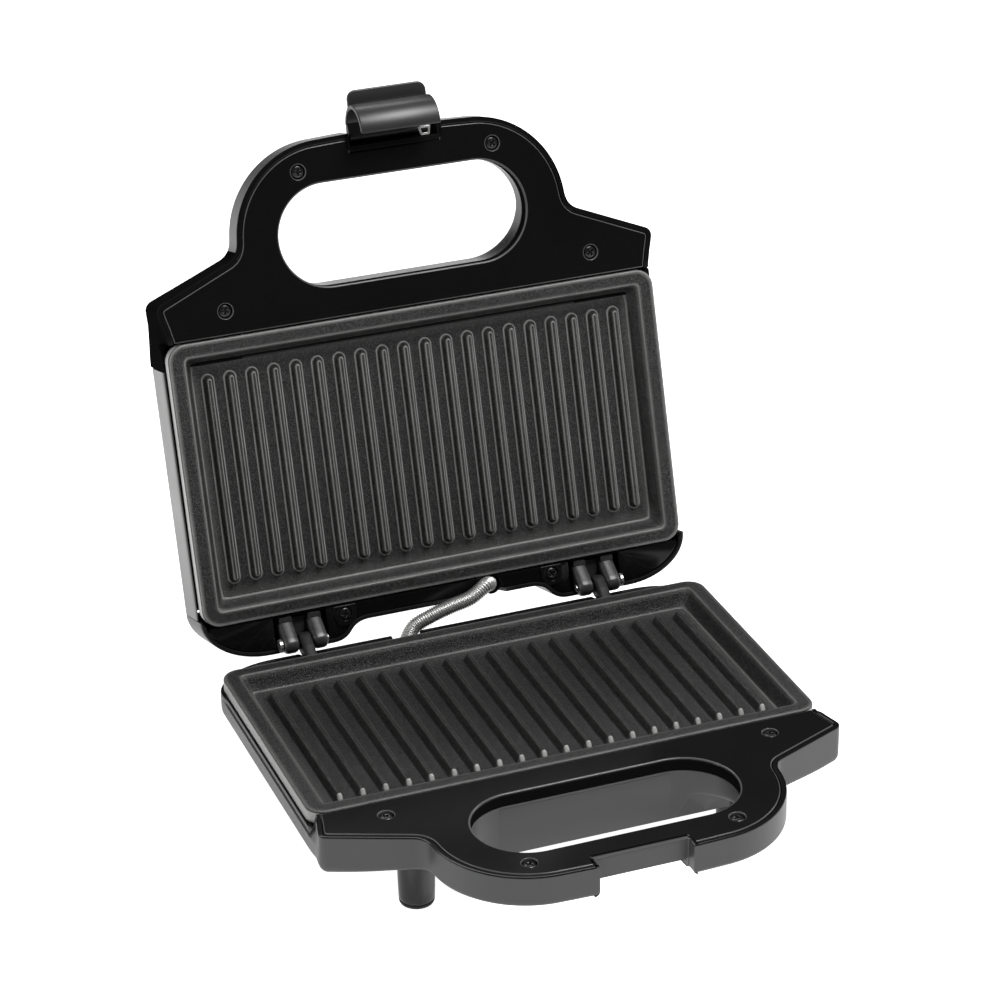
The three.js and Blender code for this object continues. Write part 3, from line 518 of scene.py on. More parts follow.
def skin(form: Form, loops: Sequence[Loop], rows: Sequence[Rows], level: Level, step: float = 8.0,
         kind: int = 0, warp: Optional[Warp] = None, rim_rows: int = 0, hole_rows: int = 0) -> None:
    """Builds a pressed or moulded skin: walls along each loop and a filling between them.

    Args:
        form: The form to add to.
        loops: The outer loop, then the holes.
        rows: For each loop, the (inset, height) steps from its open edge to the filling.
        level: Height of the filling.
        step: Distance between the filling's inner points.
        kind: The finish's number.
        warp: A last change to every point.
        rim_rows: How many rows of the outer loop take the next finish.
        hole_rows: How many rows of each hole take the next finish.
    """
    last = []
    for loop, row in zip(loops, rows):
        profiles = [row(*place) for place in loop.points]
        rings = []
        for depth in range(len(profiles[0])):
            places = []
            for (x, y), into, profile in zip(loop.points, loop.into, profiles):
                inset, height = profile[depth]
                place = (x + into.x * inset, y + into.y * inset, height)
                places.append(warp(*place) if warp else place)
            rings.append(form.ring(places))
        split = hole_rows if loop.hole else rim_rows
        form.stack(rings[:split + 1], kind + 1)
        form.stack(rings[split:], kind)
        last.append(rings[-1])
    form.cap(last, level, step, kind, warp)


def quarter(inset: float, rise: float, steps: int = 4) -> list[Point]:
    """Inset and rise shares of a rounded edge, from the wall to the top."""
    angles = [math.radians(90 * step / steps) for step in range(steps + 1)]
    return [(inset * (1 - math.cos(a)), rise * math.sin(a)) for a in angles]


def slab(form: Form, outline: Sequence[Point], low: float, high: float, edge: float, kind: int = 0,
         axis: str = "Z", holes: Sequence[Sequence[Point]] = ()) -> None:
    """Adds a plate with rounded edges, flat at both ends.

    Args:
        form: The form to add to.
        outline: Its shape, in the plane across the axis.
        low: Its lower face.
        high: Its upper face.
        edge: The radius of its edges.
        kind: The finish's number.
        axis: X when the outline is given in y and z, Z when in x and y.
        holes: Openings through it.
    """
    start = len(form.places)
    loops = [Loop(list(outline))] + [Loop(list(hole), True) for hole in holes]
    down = [(inset, low + edge - rise) for inset, rise in reversed(quarter(edge, edge, 3))]
    up = [(inset, high - edge + rise) for inset, rise in quarter(edge, edge, 3)]
    rings = []
    for loop in loops:
        made = []
        for inset, height in down + up:
            made.append(form.ring([(x + into.x * inset, y + into.y * inset, height)
                                   for (x, y), into in zip(loop.points, loop.into)]))
        form.stack(made, kind)
        rings.append(made)
    form.cap([made[0] for made in rings], lambda x, y: low, COARSE, kind)
    form.cap([made[-1] for made in rings], lambda x, y: high, COARSE, kind)
    if axis == "X":
        for index in range(start, len(form.places)):
            across, aloft, along = form.places[index]
            form.places[index] = (along, across, aloft)


def lathe(form: Form, profile: Sequence[Point], centre: Place, axis: str = "Z", segments: int = 32,
          kind: int = 0) -> None:
    """Adds a turned solid.

    Args:
        form: The form to add to.
        profile: Radius and height of each ring, from one end to the other.
        centre: Where the height is 0 on the axis.
        axis: X, Y or Z.
        segments: How many flats go round.
        kind: The finish's number.
    """
    rings = []
    for radius, height in profile:
        places = []
        for step in range(segments):
            angle = 2 * math.pi * step / segments
            a, b = radius * math.cos(angle), radius * math.sin(angle)
            offset = {"Z": (a, b, height), "X": (height, a, b), "Y": (a, height, b)}[axis]
            places.append(tuple(centre[k] + offset[k] for k in range(3)))
        if radius < 1e-6:
            rings.append([form.add(places[0])] * segments)
        else:
            rings.append(form.ring(places))
    form.stack(rings, kind)


# ---- node groups ----


class Effects:
    """The shader node groups that more than one finish uses, each built once."""

    made: dict[str, bpy.types.NodeTree] = {}

    @classmethod
    def group(cls, name: str, inputs: dict[str, float],
              outputs: Sequence[str]) -> tuple[bpy.types.NodeTree, bool]:
        """Finds or starts a group.

        Args:
            name: The group's name.
            inputs: Each number input with its usual value.
            outputs: The outputs' names.

        Returns:
            The group, and whether it is new.
        """
        if name in cls.made:
            return cls.made[name], False
        tree = bpy.data.node_groups.new(name, "ShaderNodeTree")
        for key, value in inputs.items():
            socket = tree.interface.new_socket(key, in_out="INPUT", socket_type="NodeSocketFloat")
            socket.default_value = value
        for key in outputs:
            tree.interface.new_socket(key, in_out="OUTPUT", socket_type="NodeSocketFloat")
        cls.made[name] = tree
        return tree, True

    @classmethod
    def grain(cls) -> bpy.types.NodeTree:
        """Fine irregular grain with a coarser mottle under it.

        Returns:
            The node group.
        """
        tree, new = cls.group("surface_grain", {"Scale": 2000.0, "Mottle Scale": 60.0, "Mottle": 0.5},
                              ("Height", "Mottle"))
        if new:
            net = Net(tree)
            source, sink = net.node("NodeGroupInput"), net.node("NodeGroupOutput")
            place = net.node("ShaderNodeTexCoord").outputs["Object"]
            fine = net.node("ShaderNodeTexNoise", Detail=3.0, Roughness=0.65)
            net.join(place, fine.inputs["Vector"])
            net.join(source.outputs["Scale"], fine.inputs["Scale"])
            coarse = net.node("ShaderNodeTexNoise", Detail=4.0, Roughness=0.6)
            net.join(place, coarse.inputs["Vector"])
            net.join(source.outputs["Mottle Scale"], coarse.inputs["Scale"])
            net.join(fine.outputs["Fac"], sink.inputs["Height"])
            spread = net.math("SUBTRACT", coarse.outputs["Fac"], 0.5)
            net.join(net.math("MULTIPLY", spread, source.outputs["Mottle"]), sink.inputs["Mottle"])
        return tree

    @classmethod
    def speckle(cls) -> bpy.types.NodeTree:
        """Small round flecks, as in a sprayed coating.

        Returns:
            The node group.
        """
        tree, new = cls.group("coating_speckle", {"Scale": 900.0, "Reach": 0.3}, ("Flecks", "Height"))
        if new:
            net = Net(tree)
            source, sink = net.node("NodeGroupInput"), net.node("NodeGroupOutput")
            cells = net.node("ShaderNodeTexVoronoi", Randomness=1.0)
            net.join(net.node("ShaderNodeTexCoord").outputs["Object"], cells.inputs["Vector"])
            net.join(source.outputs["Scale"], cells.inputs["Scale"])
            near = net.math("SUBTRACT", source.outputs["Reach"], cells.outputs["Distance"])
            lit = net.math("MULTIPLY", near, 4.0, clamp=True)
            net.join(lit, sink.inputs["Flecks"])
            net.join(cells.outputs["Distance"], sink.inputs["Height"])
        return tree

    @classmethod
    def wear(cls) -> bpy.types.NodeTree:
        """Rubbed edges: the mesh's convex edges, broken up by noise.

        Returns:
            The node group.
        """
        tree, new = cls.group("edge_wear", {"Start": 0.52, "Gain": 14.0, "Scale": 300.0}, ("Mask",))
        if new:
            net = Net(tree)
            source, sink = net.node("NodeGroupInput"), net.node("NodeGroupOutput")
            edge = net.node("ShaderNodeNewGeometry").outputs["Pointiness"]
            over = net.math("SUBTRACT", edge, source.outputs["Start"])
            strong = net.math("MULTIPLY", over, source.outputs["Gain"], clamp=True)
            noise = net.node("ShaderNodeTexNoise", Detail=3.0)
            net.join(net.node("ShaderNodeTexCoord").outputs["Object"], noise.inputs["Vector"])
            net.join(source.outputs["Scale"], noise.inputs["Scale"])
            broken = net.math("MULTIPLY", strong, noise.outputs["Fac"])
            net.join(net.math("MULTIPLY", broken, 1.7, clamp=True), sink.inputs["Mask"])
        return tree

    @classmethod
    def brushing(cls) -> bpy.types.NodeTree:
        """Long fine scratches along the object's y and z, with blotches.

        Returns:
            The node group.
        """
        tree, new = cls.group("brushing", {"Across": 3500.0, "Along": 30.0}, ("Lines", "Blotch"))
        if new:
            net = Net(tree)
            source, sink = net.node("NodeGroupInput"), net.node("NodeGroupOutput")
            place = net.node("ShaderNodeTexCoord").outputs["Object"]
            parts = net.node("ShaderNodeSeparateXYZ")
            net.join(place, parts.inputs[0])
            packed = net.node("ShaderNodeCombineXYZ")
            net.join(net.math("MULTIPLY", parts.outputs["X"], source.outputs["Along"]), packed.inputs["X"])
            net.join(net.math("MULTIPLY", parts.outputs["Y"], source.outputs["Across"]), packed.inputs["Y"])
            net.join(net.math("MULTIPLY", parts.outputs["Z"], source.outputs["Across"]), packed.inputs["Z"])
            lines = net.node("ShaderNodeTexNoise", Scale=1.0, Detail=2.0)
            net.join(packed.outputs[0], lines.inputs["Vector"])
            net.join(lines.outputs["Fac"], sink.inputs["Lines"])
            blotch = net.node("ShaderNodeTexNoise", Scale=70.0, Detail=4.0)
            net.join(place, blotch.inputs["Vector"])
            net.join(blotch.outputs["Fac"], sink.inputs["Blotch"])
        return tree


class Net:
    """Short ways to place and join shader nodes in a tree."""

    def __init__(self, tree: bpy.types.NodeTree) -> None:
        """Works on the given tree."""
        self.tree = tree

    def node(self, kind: str, **values: object) -> bpy.types.Node:
        """Adds a node and sets its inputs by name.

        Args:
            kind: The node's type.
            values: Inputs and their values.

        Returns:
            The new node.
        """
        made = self.tree.nodes.new(kind)
        for key, value in values.items():
            made.inputs[key.replace("_", " ")].default_value = value
        return made

    def join(self, out: bpy.types.NodeSocket, into: bpy.types.NodeSocket) -> None:
        """Links an output to an input."""
        self.tree.links.new(out, into)

    def math(self, way: str, first: object, second: object, clamp: bool = False) -> bpy.types.NodeSocket:
        """Adds a two-value sum of sockets or numbers.

        Args:
            way: The operation.
            first: A socket or a number.
            second: A socket or a number.
            clamp: Whether to keep the result within 0 and 1.

        Returns:
            The result's socket.
        """
        made = self.tree.nodes.new("ShaderNodeMath")
        made.operation = way
        made.use_clamp = clamp
        for socket, value in zip(made.inputs, (first, second)):
            if isinstance(value, bpy.types.NodeSocket):
                self.join(value, socket)
            else:
                socket.default_value = value
        return made.outputs[0]

    def use(self, group: bpy.types.NodeTree, **values: float) -> bpy.types.Node:
        """Places a node group with its own values.

        Args:
            group: The group.
            values: Inputs and their values.

        Returns:
            The placed group.
        """
        made = self.tree.nodes.new("ShaderNodeGroup")
        made.node_tree = group
        for key, value in values.items():
            made.inputs[key.replace("_", " ")].default_value = value
        return made

    def blend(self, share: bpy.types.NodeSocket, first: object, second: object) -> bpy.types.NodeSocket:
        """Mixes two colours by a share.

        Args:
            share: How much of the second to take.
            first: A socket or a colour.
            second: A socket or a colour.

        Returns:
            The mixed colour's socket.
        """
        made = self.tree.nodes.new("ShaderNodeMix")
        made.data_type = "RGBA"
        self.join(share, made.inputs[0])
        for socket, value in ((made.inputs[6], first), (made.inputs[7], second)):
            if isinstance(value, bpy.types.NodeSocket):
                self.join(value, socket)
            else:
                socket.default_value = (*value, 1.0)
        return made.outputs[2]

    def bump(self, height: bpy.types.NodeSocket, strength: float, distance: float,
             under: Optional[bpy.types.NodeSocket] = None) -> bpy.types.NodeSocket:
        """Turns a height into a normal.

        Args:
            height: The height's socket.
            strength: How strongly it shows.
            distance: The height's real size, in metres.
            under: Another bump's normal to build on.

        Returns:
            The normal's socket.
        """
        made = self.node("ShaderNodeBump", Strength=strength, Distance=distance)
        self.join(height, made.inputs["Height"])
        if under is not None:
            self.join(under, made.inputs["Normal"])
        return made.outputs["Normal"]


# ---- finishes ----

Colour = tuple[float, float, float]


@dataclass(frozen=True)
class Finish:
    """A surface's look. Subclasses say how the colour, roughness and bump vary."""

    name: str
    slot: str
    colour: Colour
    roughness: float
    metallic: float = 0.0
    specular: float = 0.5

    def material(self) -> bpy.types.Material:
        """Finds or makes the finish's material.

        Returns:
            One material for every piece in this finish.
        """
        known = bpy.data.materials.get(self.name)
        if known:
            return known
        made = bpy.data.materials.new(self.name)
        made.use_nodes = True
        made.diffuse_color = (*self.colour, 1.0)
        shader = made.node_tree.nodes["Principled BSDF"]
        shader.inputs["Base Color"].default_value = (*self.colour, 1.0)
        shader.inputs["Roughness"].default_value = self.roughness
        shader.inputs["Metallic"].default_value = self.metallic
        shader.inputs["Specular IOR Level"].default_value = self.specular
        self.dress(Net(made.node_tree), shader)
        return made

    def dress(self, net: Net, shader: bpy.types.Node) -> None:
        """Adds the finish's own detail to its shader."""

    def spread(self, net: Net, shader: bpy.types.Node, value: bpy.types.NodeSocket, low: float,
               high: float) -> None:
        """Lets a value from 0 to 1 set the roughness between two limits."""
        net.join(net.math("ADD", net.math("MULTIPLY", value, high - low), low), shader.inputs["Roughness"])


@dataclass(frozen=True)
class Moulded(Finish):
    """Moulded plastic with fine spark grain, soft mottle and slightly scuffed edges."""

    grain: float = 2600.0
    bump: float = 0.25
    wear_and_highlight: Colour = (0.09, 0.09, 0.092)

    def dress(self, net: Net, shader: bpy.types.Node) -> None:
        """Adds grain, mottle and edge wear.

        Args:
            net: The material's tree.
            shader: Its Principled shader.
        """
        grain = net.use(Effects.grain(), Scale=self.grain, Mottle_Scale=45.0, Mottle=0.5)
        wear = net.use(Effects.wear(), Start=0.53, Gain=10.0, Scale=400.0)
        mottled = net.math("ADD", grain.outputs["Mottle"], 0.5, clamp=True)
        tone = net.blend(mottled, tuple(0.85 * c for c in self.colour), tuple(1.15 * c for c in self.colour))
        net.join(net.blend(wear.outputs["Mask"], tone, self.wear_and_highlight), shader.inputs["Base Color"])
        self.spread(net, shader, mottled, self.roughness - 0.05, self.roughness + 0.06)
        net.join(net.bump(grain.outputs["Height"], self.bump, 0.00006), shader.inputs["Normal"])


@dataclass(frozen=True)
class Polished(Finish):
    """High-gloss plastic with faint handling haze, a very slight moulding ripple and painted highlight lines
    along marked edges.
    """

    haze: float = 0.05
    # Colour of the painted highlight lines along the marked edges.
    wear_and_highlight: Colour = (0.16, 0.16, 0.16)

    def dress(self, net: Net, shader: bpy.types.Node) -> None:
        """Adds the haze, the ripple and painted highlight lines along the marked edges.

        Args:
            net: The material's tree.
            shader: Its Principled shader.
        """
        grain = net.use(Effects.grain(), Scale=900.0, Mottle_Scale=26.0, Mottle=1.0)
        hazy = net.math("ADD", grain.outputs["Mottle"], 0.5, clamp=True)
        self.spread(net, shader, hazy, self.roughness, self.roughness + self.haze)
        tone = net.blend(hazy, self.colour, tuple(1.5 * c for c in self.colour))
        # Painted highlight: the mesh's attribute lays light lines along the marked edges.
        wear_and_highlight = net.node("ShaderNodeAttribute")
        wear_and_highlight.attribute_name = "wear_and_highlight"
        uneven = net.math("MULTIPLY", wear_and_highlight.outputs["Fac"], net.math("ADD", hazy, 0.3), clamp=True)
        net.join(net.blend(uneven, tone, self.wear_and_highlight), shader.inputs["Base Color"])
        net.join(net.bump(grain.outputs["Mottle"], 0.05, 0.0002), shader.inputs["Normal"])


@dataclass(frozen=True)
class Coated(Finish):
    """Sprayed non-stick coating on a casting: flecks, fine orange peel, and light lines on the rib feet,
    crests and edges, partly wear and partly painted highlight.
    """

    fleck: Colour = (0.17, 0.17, 0.167)
    # Colour of the light lines: partly coating wear, partly painted highlight.
    wear_and_highlight_colour: Colour = (0.55, 0.545, 0.53)

    def dress(self, net: Net, shader: bpy.types.Node) -> None:
        """Adds flecks, peel, wear and painted highlight lines.

        Args:
            net: The material's tree.
            shader: Its Principled shader.
        """
        grain = net.use(Effects.grain(), Scale=1300.0, Mottle_Scale=70.0, Mottle=0.9)
        fine = net.use(Effects.speckle(), Scale=2300.0, Reach=0.42)
        wide = net.use(Effects.speckle(), Scale=1100.0, Reach=0.24)
        wear = net.use(Effects.wear(), Start=0.54, Gain=9.0, Scale=500.0)
        mottled = net.math("ADD", grain.outputs["Mottle"], 0.5, clamp=True)
        tone = net.blend(mottled, tuple(0.75 * c for c in self.colour), tuple(1.25 * c for c in self.colour))
        flecks = net.math("ADD", net.math("MULTIPLY", fine.outputs["Flecks"], 0.7),
                          net.math("MULTIPLY", wide.outputs["Flecks"], 0.3), clamp=True)
        speckled = net.blend(flecks, tone, self.fleck)
        # Painted highlight: the mesh's attribute lays light lines on the rib feet, crests and rim edges, with
        # some wear, joined by the pointiness edge wear.
        wear_and_highlight = net.node("ShaderNodeAttribute")
        wear_and_highlight.attribute_name = "wear_and_highlight"
        uneven = net.math("ADD", net.math("MULTIPLY", mottled, 0.7), 0.45)
        lines = net.math("MULTIPLY", wear_and_highlight.outputs["Fac"], uneven, clamp=True)
        edges = net.math("MAXIMUM", lines, net.math("MULTIPLY", wear.outputs["Mask"], 0.16))
        net.join(net.blend(edges, speckled, self.wear_and_highlight_colour), shader.inputs["Base Color"])
        self.spread(net, shader, mottled, self.roughness - 0.06, self.roughness + 0.06)
        coarse = net.bump(wide.outputs["Height"], 0.35, 0.00025)
        net.join(net.bump(grain.outputs["Height"], 1.0, 0.0003, coarse), shader.inputs["Normal"])


@dataclass(frozen=True)
class Brushed(Finish):
    """Metal with a drawn or brushed grain along x, and blotches."""

    across: float = 3200.0
    along: float = 60.0
    bump: float = 0.2
    dark: float = 0.72

    def dress(self, net: Net, shader: bpy.types.Node) -> None:
        """Adds the grain and the blotches.

        Args:
            net: The material's tree.
            shader: Its Principled shader.
        """
        brush = net.use(Effects.brushing(), Across=self.across, Along=self.along)
        tone = net.blend(brush.outputs["Blotch"], tuple(self.dark * c for c in self.colour), self.colour)
        low = tuple(0.8 * c for c in self.colour)
        net.join(net.blend(brush.outputs["Lines"], tone, low), shader.inputs["Base Color"])
        self.spread(net, shader, brush.outputs["Blotch"], self.roughness - 0.08, self.roughness + 0.1)
        net.join(net.bump(brush.outputs["Lines"], self.bump, 0.00004), shader.inputs["Normal"])


@dataclass(frozen=True)
class Blackened(Finish):
    """Black-finished steel, scuffed bright in patches and along its edges."""

    bare: Colour = (0.34, 0.34, 0.33)

    def dress(self, net: Net, shader: bpy.types.Node) -> None:
        """Adds the scuffed patches and the scratches.

        Args:
            net: The material's tree.
            shader: Its Principled shader.
        """
        brush = net.use(Effects.brushing(), Across=900.0, Along=500.0)
        wear = net.use(Effects.wear(), Start=0.51, Gain=12.0, Scale=700.0)
        patches = net.math("MULTIPLY", net.math("SUBTRACT", brush.outputs["Blotch"], 0.56), 3.0, clamp=True)
        wear_and_highlight = net.math("MAXIMUM", net.math("MULTIPLY", patches, 0.5), wear.outputs["Mask"])
        net.join(net.blend(wear_and_highlight, self.colour, self.bare), shader.inputs["Base Color"])
        self.spread(net, shader, brush.outputs["Blotch"], self.roughness - 0.12, self.roughness + 0.12)
        net.join(net.bump(brush.outputs["Lines"], 0.25, 0.00005), shader.inputs["Normal"])


SATIN = Moulded("satin_black_plastic", "satin_black", (0.05, 0.05, 0.051), 0.4)
DEEP_SATIN = Moulded("deep_satin_plastic", "satin_black", (0.007, 0.007, 0.0073), 0.24, specular=0.34,
                     wear_and_highlight=(0.05, 0.05, 0.051))
LATCH_SATIN = Moulded("latch_plastic", "satin_black", (0.02, 0.02, 0.0205), 0.36)
# Painted shade: the feet take a darker copy of the satin black, standing in for the shade under the base.
SHADED_FOOT_SATIN = Moulded("foot_plastic", "satin_black", (0.016, 0.016, 0.0165), 0.22, grain=3000.0, bump=0.08)
GLOSS = Polished("gloss_black_plastic", "gloss_black", (0.004, 0.004, 0.004), 0.13, specular=0.21, haze=0.07)
NONSTICK = Coated("nonstick_coating", "nonstick", (0.0085, 0.0085, 0.0083), 0.38, specular=0.4)
PLATE_EDGE = Coated("overspray_casting", "nonstick", (0.24, 0.24, 0.235), 0.36, metallic=0.55,
                    fleck=(0.5, 0.5, 0.49), wear_and_highlight_colour=(0.6, 0.6, 0.59))
# Painted light: a pale, plain copy of the plate edge's casting for the lid's plate, whose side wall would
# otherwise reflect the cover's dark hem.
LIT_PLATE_EDGE = Coated("painted_light_casting", "nonstick", (0.6, 0.6, 0.59), 0.5, fleck=(0.95, 0.95, 0.94),
                   wear_and_highlight_colour=(0.9, 0.9, 0.89))
END_SATIN = Moulded("wing_end_plastic", "satin_black", (0.006, 0.006, 0.0062), 0.4, specular=0.0,
                    wear_and_highlight=(0.03, 0.03, 0.03))
# Painted shade: a darker, duller copy of the hinge steel for the base's knuckles, which sit in shade at the
# hinge.
SHADED_KNUCKLE_STEEL = Blackened("shaded_knuckle_steel", "dark_steel", (0.006, 0.006, 0.006), 0.45, specular=0.15,
                          bare=(0.05, 0.05, 0.05))
COVER_STEEL = Brushed("cover_steel", "steel", (0.22, 0.22, 0.217), 0.34, metallic=0.75)
SHIELD_STEEL = Brushed("shield_steel", "steel", (0.5, 0.5, 0.5), 0.4, metallic=1.0, across=1200.0)
ZINC = Brushed("zinc_steel", "zinc_steel", (0.42, 0.42, 0.41), 0.35, metallic=1.0, across=1500.0, along=400.0)
SPRING = Brushed("spring_steel", "spring_steel", (0.85, 0.85, 0.84), 0.26, metallic=1.0, across=1500.0,
                 along=900.0)
HINGE_STEEL = Blackened("hinge_steel", "dark_steel", (0.012, 0.012, 0.0125), 0.36, metallic=0.25,
                        bare=(0.16, 0.16, 0.157))
SCREW_STEEL = Blackened("screw_steel", "dark_steel", (0.035, 0.035, 0.037), 0.3, metallic=0.9,
                        bare=(0.2, 0.2, 0.2))
RUBBER = Moulded("black_rubber", "rubber", (0.014, 0.014, 0.014), 0.7, grain=1800.0, bump=0.4,
                 wear_and_highlight=(0.03, 0.03, 0.03))
CERAMIC = Moulded("terminal_ceramic", "terminal_ceramic", (0.6, 0.58, 0.5), 0.5, grain=900.0,
                  wear_and_highlight=(0.7, 0.68, 0.6))
RED_LENS = Polished("red_lamp_lens", "red_lens", (0.3, 0.012, 0.01), 0.06)
GREEN_LENS = Polished("green_lamp_lens", "green_lens", (0.015, 0.2, 0.03), 0.06)


def finished(piece: bpy.types.Object, body: str, finish: Finish, *nodes: str) -> bpy.types.Object:
    """Mounts a piece on its body and hides the solids that it stands for.

    Args:
        piece: The piece.
        body: The body that it rides on.
        finish: Not used.
        nodes: The solids that it stands for.

    Returns:
        The same piece.
    """
    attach(piece, body)
    if nodes:
        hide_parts(*nodes)
    LOG.info("%s: %d faces, rides on %s", piece.name, len(piece.data.polygons), body)
    return piece


# ---- grill plate ----


@dataclass
class GrillPlate:
    """A cast grill plate: rim, sloped recess and raised ribs, with cast side walls, painted lighter on the
    lid, and painted highlight lines along its edges.
    """

    half: Half
    corner: float = 8.0
    rim_height: float = 6.2
    edge: float = 0.9
    recess_side: float = 7.4
    recess_end: float = 6.5
    recess_run: float = 3.8
    recess_depth: float = 7.7
    recess_corner: float = 2.4
    rib_count: int = 20
    rib_pitch: float = 10.17
    rib_start: float = 15.8
    rib_end: float = 110.2
    rib_height: float = 3.6
    rib_foot: float = 2.7
    rib_crest: float = 0.75
    # Strength of the light lines on the rim's outer edge, brow and recess foot rings: painted highlight, with
    # some wear.
    outer_wear_and_highlight: tuple[float, ...] = (0.3, 0.7, 1.0, 0.6)
    brow_wear_and_highlight: tuple[float, ...] = (0.3, 0.9, 0.4)
    foot_rub: tuple[float, ...] = (0.1, 0.6, 1.0, 0.2)

    def rings(self) -> list[tuple[float, float, float, float]]:
        """Lists the rings from the back of the side wall to the recess floor.

        Returns:
            For each ring: inset at the sides, inset at the ends, depth and corner radius.
        """
        found = [(inset, inset, self.rim_height, self.corner - inset) for inset in (1.6, 0.3)]
        found.append((0.05, 0.05, self.rim_height - 0.25, self.corner))
        found += [(0.0, 0.0, depth, self.corner) for depth in (4.6, 3.2, 2.0)]
        for inset, rise in quarter(self.edge, self.edge, 5):
            found.append((inset, inset, self.edge - rise, self.corner - inset))
        for share in (0.3, 0.55, 0.8):
            found.append((self.recess_side * share, self.recess_end * share, 0.0,
                          self.corner + (self.recess_corner - self.corner) * share))
        run, depth = self.recess_run, self.recess_depth
        slope = ((-0.14, 0.0), (-0.03, 0.012), (0.06, 0.06), (0.3, 0.3), (0.6, 0.6), (0.9, 0.9),
                 (0.99, 0.965), (1.07, 0.992), (1.2, 1.0))
        for across, down in slope:
            found.append((self.recess_side + run * across, self.recess_end + run * across, depth * down,
                          self.recess_corner))
        return found

    def rim_wear_and_highlight(self) -> list[float]:
        """How strongly each ring takes the light lines, painted highlight with some wear, strongest along the
        rim's three edges.
        """
        wear_and_highlight = [0.0] * 8 + list(self.outer_wear_and_highlight) + [0.0] * 3 + list(self.brow_wear_and_highlight) + [0.0] * 2
        return wear_and_highlight + list(self.foot_rub)

    def rib_columns(self) -> list[float]:
        """Places of the grid's columns over the ribs.

        Returns:
            The columns, left to right.
        """
        offsets = (0.0, 0.32, 0.58, 0.8, 1.02, 1.4, 1.85, 2.2, 2.42, 2.64, 2.86, 3.15)
        found = []
        for index in range(self.rib_count):
            middle = (index - (self.rib_count - 1) / 2) * self.rib_pitch
            found += sorted({middle + sign * offset for offset in offsets for sign in (-1, 1)})
            if index < self.rib_count - 1:
                found.append(middle + self.rib_pitch / 2)
        return found

    def rib_rows(self) -> list[float]:
        """Places of the grid's rows: close at the ribs' ends, wide between.

        Returns:
            The rows, near to far.
        """
        ends = (-0.5, -0.14, 0.06, 0.28, 0.5, 0.85, 1.2, 1.6, 1.95, 2.25, 2.6, 2.9, 3.3)
        near = [self.rib_start + offset for offset in ends]
        far = [self.rib_end - offset for offset in reversed(ends)]
        middle = [near[-1] + (far[0] - near[-1]) * step / 9 for step in range(1, 9)]
        return near + middle + far

    def rib_rise(self, x: float, y: float) -> float:
        """Height of the ribs above the recess floor.

        Args:
            x: Place across.
            y: Place along the ribs.

        Returns:
            The height, 0 between the ribs.
        """
        reach, away = self.rib_foot, self.from_rib(x, y)
        if away >= reach + 0.35:
            return 0.0
        share = (reach - away) / (reach - self.rib_crest)
        if share <= 0.12:
            return self.rib_height * 0.06 * smooth(reach + 0.35, reach - 0.25, away)
        crown = 1.0 - 0.05 * (away / self.rib_crest) ** 2
        return self.rib_height * min(share, crown, 0.5 + 0.5 * share * 0.97)

    def aside(self, x: float) -> float:
        """Distance across from the nearest rib's middle line.

        Args:
            x: Place across.

        Returns:
            The distance.
        """
        middle = (self.rib_count - 1) / 2
        index = min(self.rib_count - 1, max(0, round(x / self.rib_pitch + middle)))
        return abs(x - (index - middle) * self.rib_pitch)

    def from_rib(self, x: float, y: float) -> float:
        """Distance from the nearest rib's middle line, or from its end."""
        ahead = max(self.rib_start + self.rib_foot - y, y - self.rib_end + self.rib_foot, 0.0)
        return math.hypot(self.aside(x), ahead)

    def wear_and_highlight_at(self, x: float, y: float) -> float:
        """How strongly a place takes the light lines: painted highlight lines, with some wear, along the
        ribs' feet and crests, and a painted glint on each base rib's near end.

        Args:
            x: Place across.
            y: Place along the half, from the plate's handle edge.

        Returns:
            The share, from 0 to 1.
        """
        away = self.from_rib(x, y)
        foot = 0.95 * max(0.0, 1 - abs(away - self.rib_foot) / 0.4)
        crest = 0.6 * max(0.0, 1 - abs(away - self.rib_crest - 0.05) / 0.36)
        # The lid's lines show strong and the base's faint, as the light falls on each plate: painted
        # highlight.
        if self.half is Half.LID:
            return max(foot, crest)
        # Painted glint on the nose at each base rib's near end.
        nose = self.rib_start + self.rib_foot
        painted_nose_glint = smooth(1.3, 0.7, self.aside(x)) * smooth(nose - 0.1, nose - 0.6, y) * smooth(2.5, 1.7, away)
        return max(0.04 * foot, 0.1 * crest, painted_nose_glint)

    def build(self) -> bpy.types.Object:
        """Builds the plate on a grid whose outer rows are the rim's rings.

        Returns:
            The finished plate.
        """
        rings = self.rings()
        middle_y = PLATE_DEPTH / 2
        inner_x = [PLATE_HALF_WIDTH - ring[0] for ring in rings]
        inner_y = [middle_y - ring[1] for ring in rings]
        columns = [-x for x in inner_x] + self.rib_columns() + list(reversed(inner_x))
        rows = [middle_y - y for y in inner_y] + self.rib_rows() + [middle_y + y for y in reversed(inner_y)]
        form = Form()
        deepest = len(rings) - 1
        rim_wear_and_highlight = self.rim_wear_and_highlight()
        # Painted highlight: the rim's light lines are stronger on the lid than on the base, as the light
        # falls.
        share = 0.5 if self.half is Half.LID else 0.26
        numbers = []
        for i, x in enumerate(columns):
            line = []
            for j, y in enumerate(rows):
                level = min(i, j, len(columns) - 1 - i, len(rows) - 1 - j)
                line.append(form.add(self.spot(x, y - middle_y, rings[min(level, deepest)], level > deepest)))
                rim = rim_wear_and_highlight[min(level, deepest)] * share
                form.wear_and_highlight[line[-1]] = self.wear_and_highlight_at(x, y) if level > deepest else rim
            numbers.append(line)
        for i in range(len(columns) - 1):
            for j in range(len(rows) - 1):
                level = min(i, j, len(columns) - 2 - i, len(rows) - 2 - j)
                corners = (numbers[i][j], numbers[i + 1][j], numbers[i + 1][j + 1], numbers[i][j + 1])
                form.face(corners, 1 if level < 6 else 0)
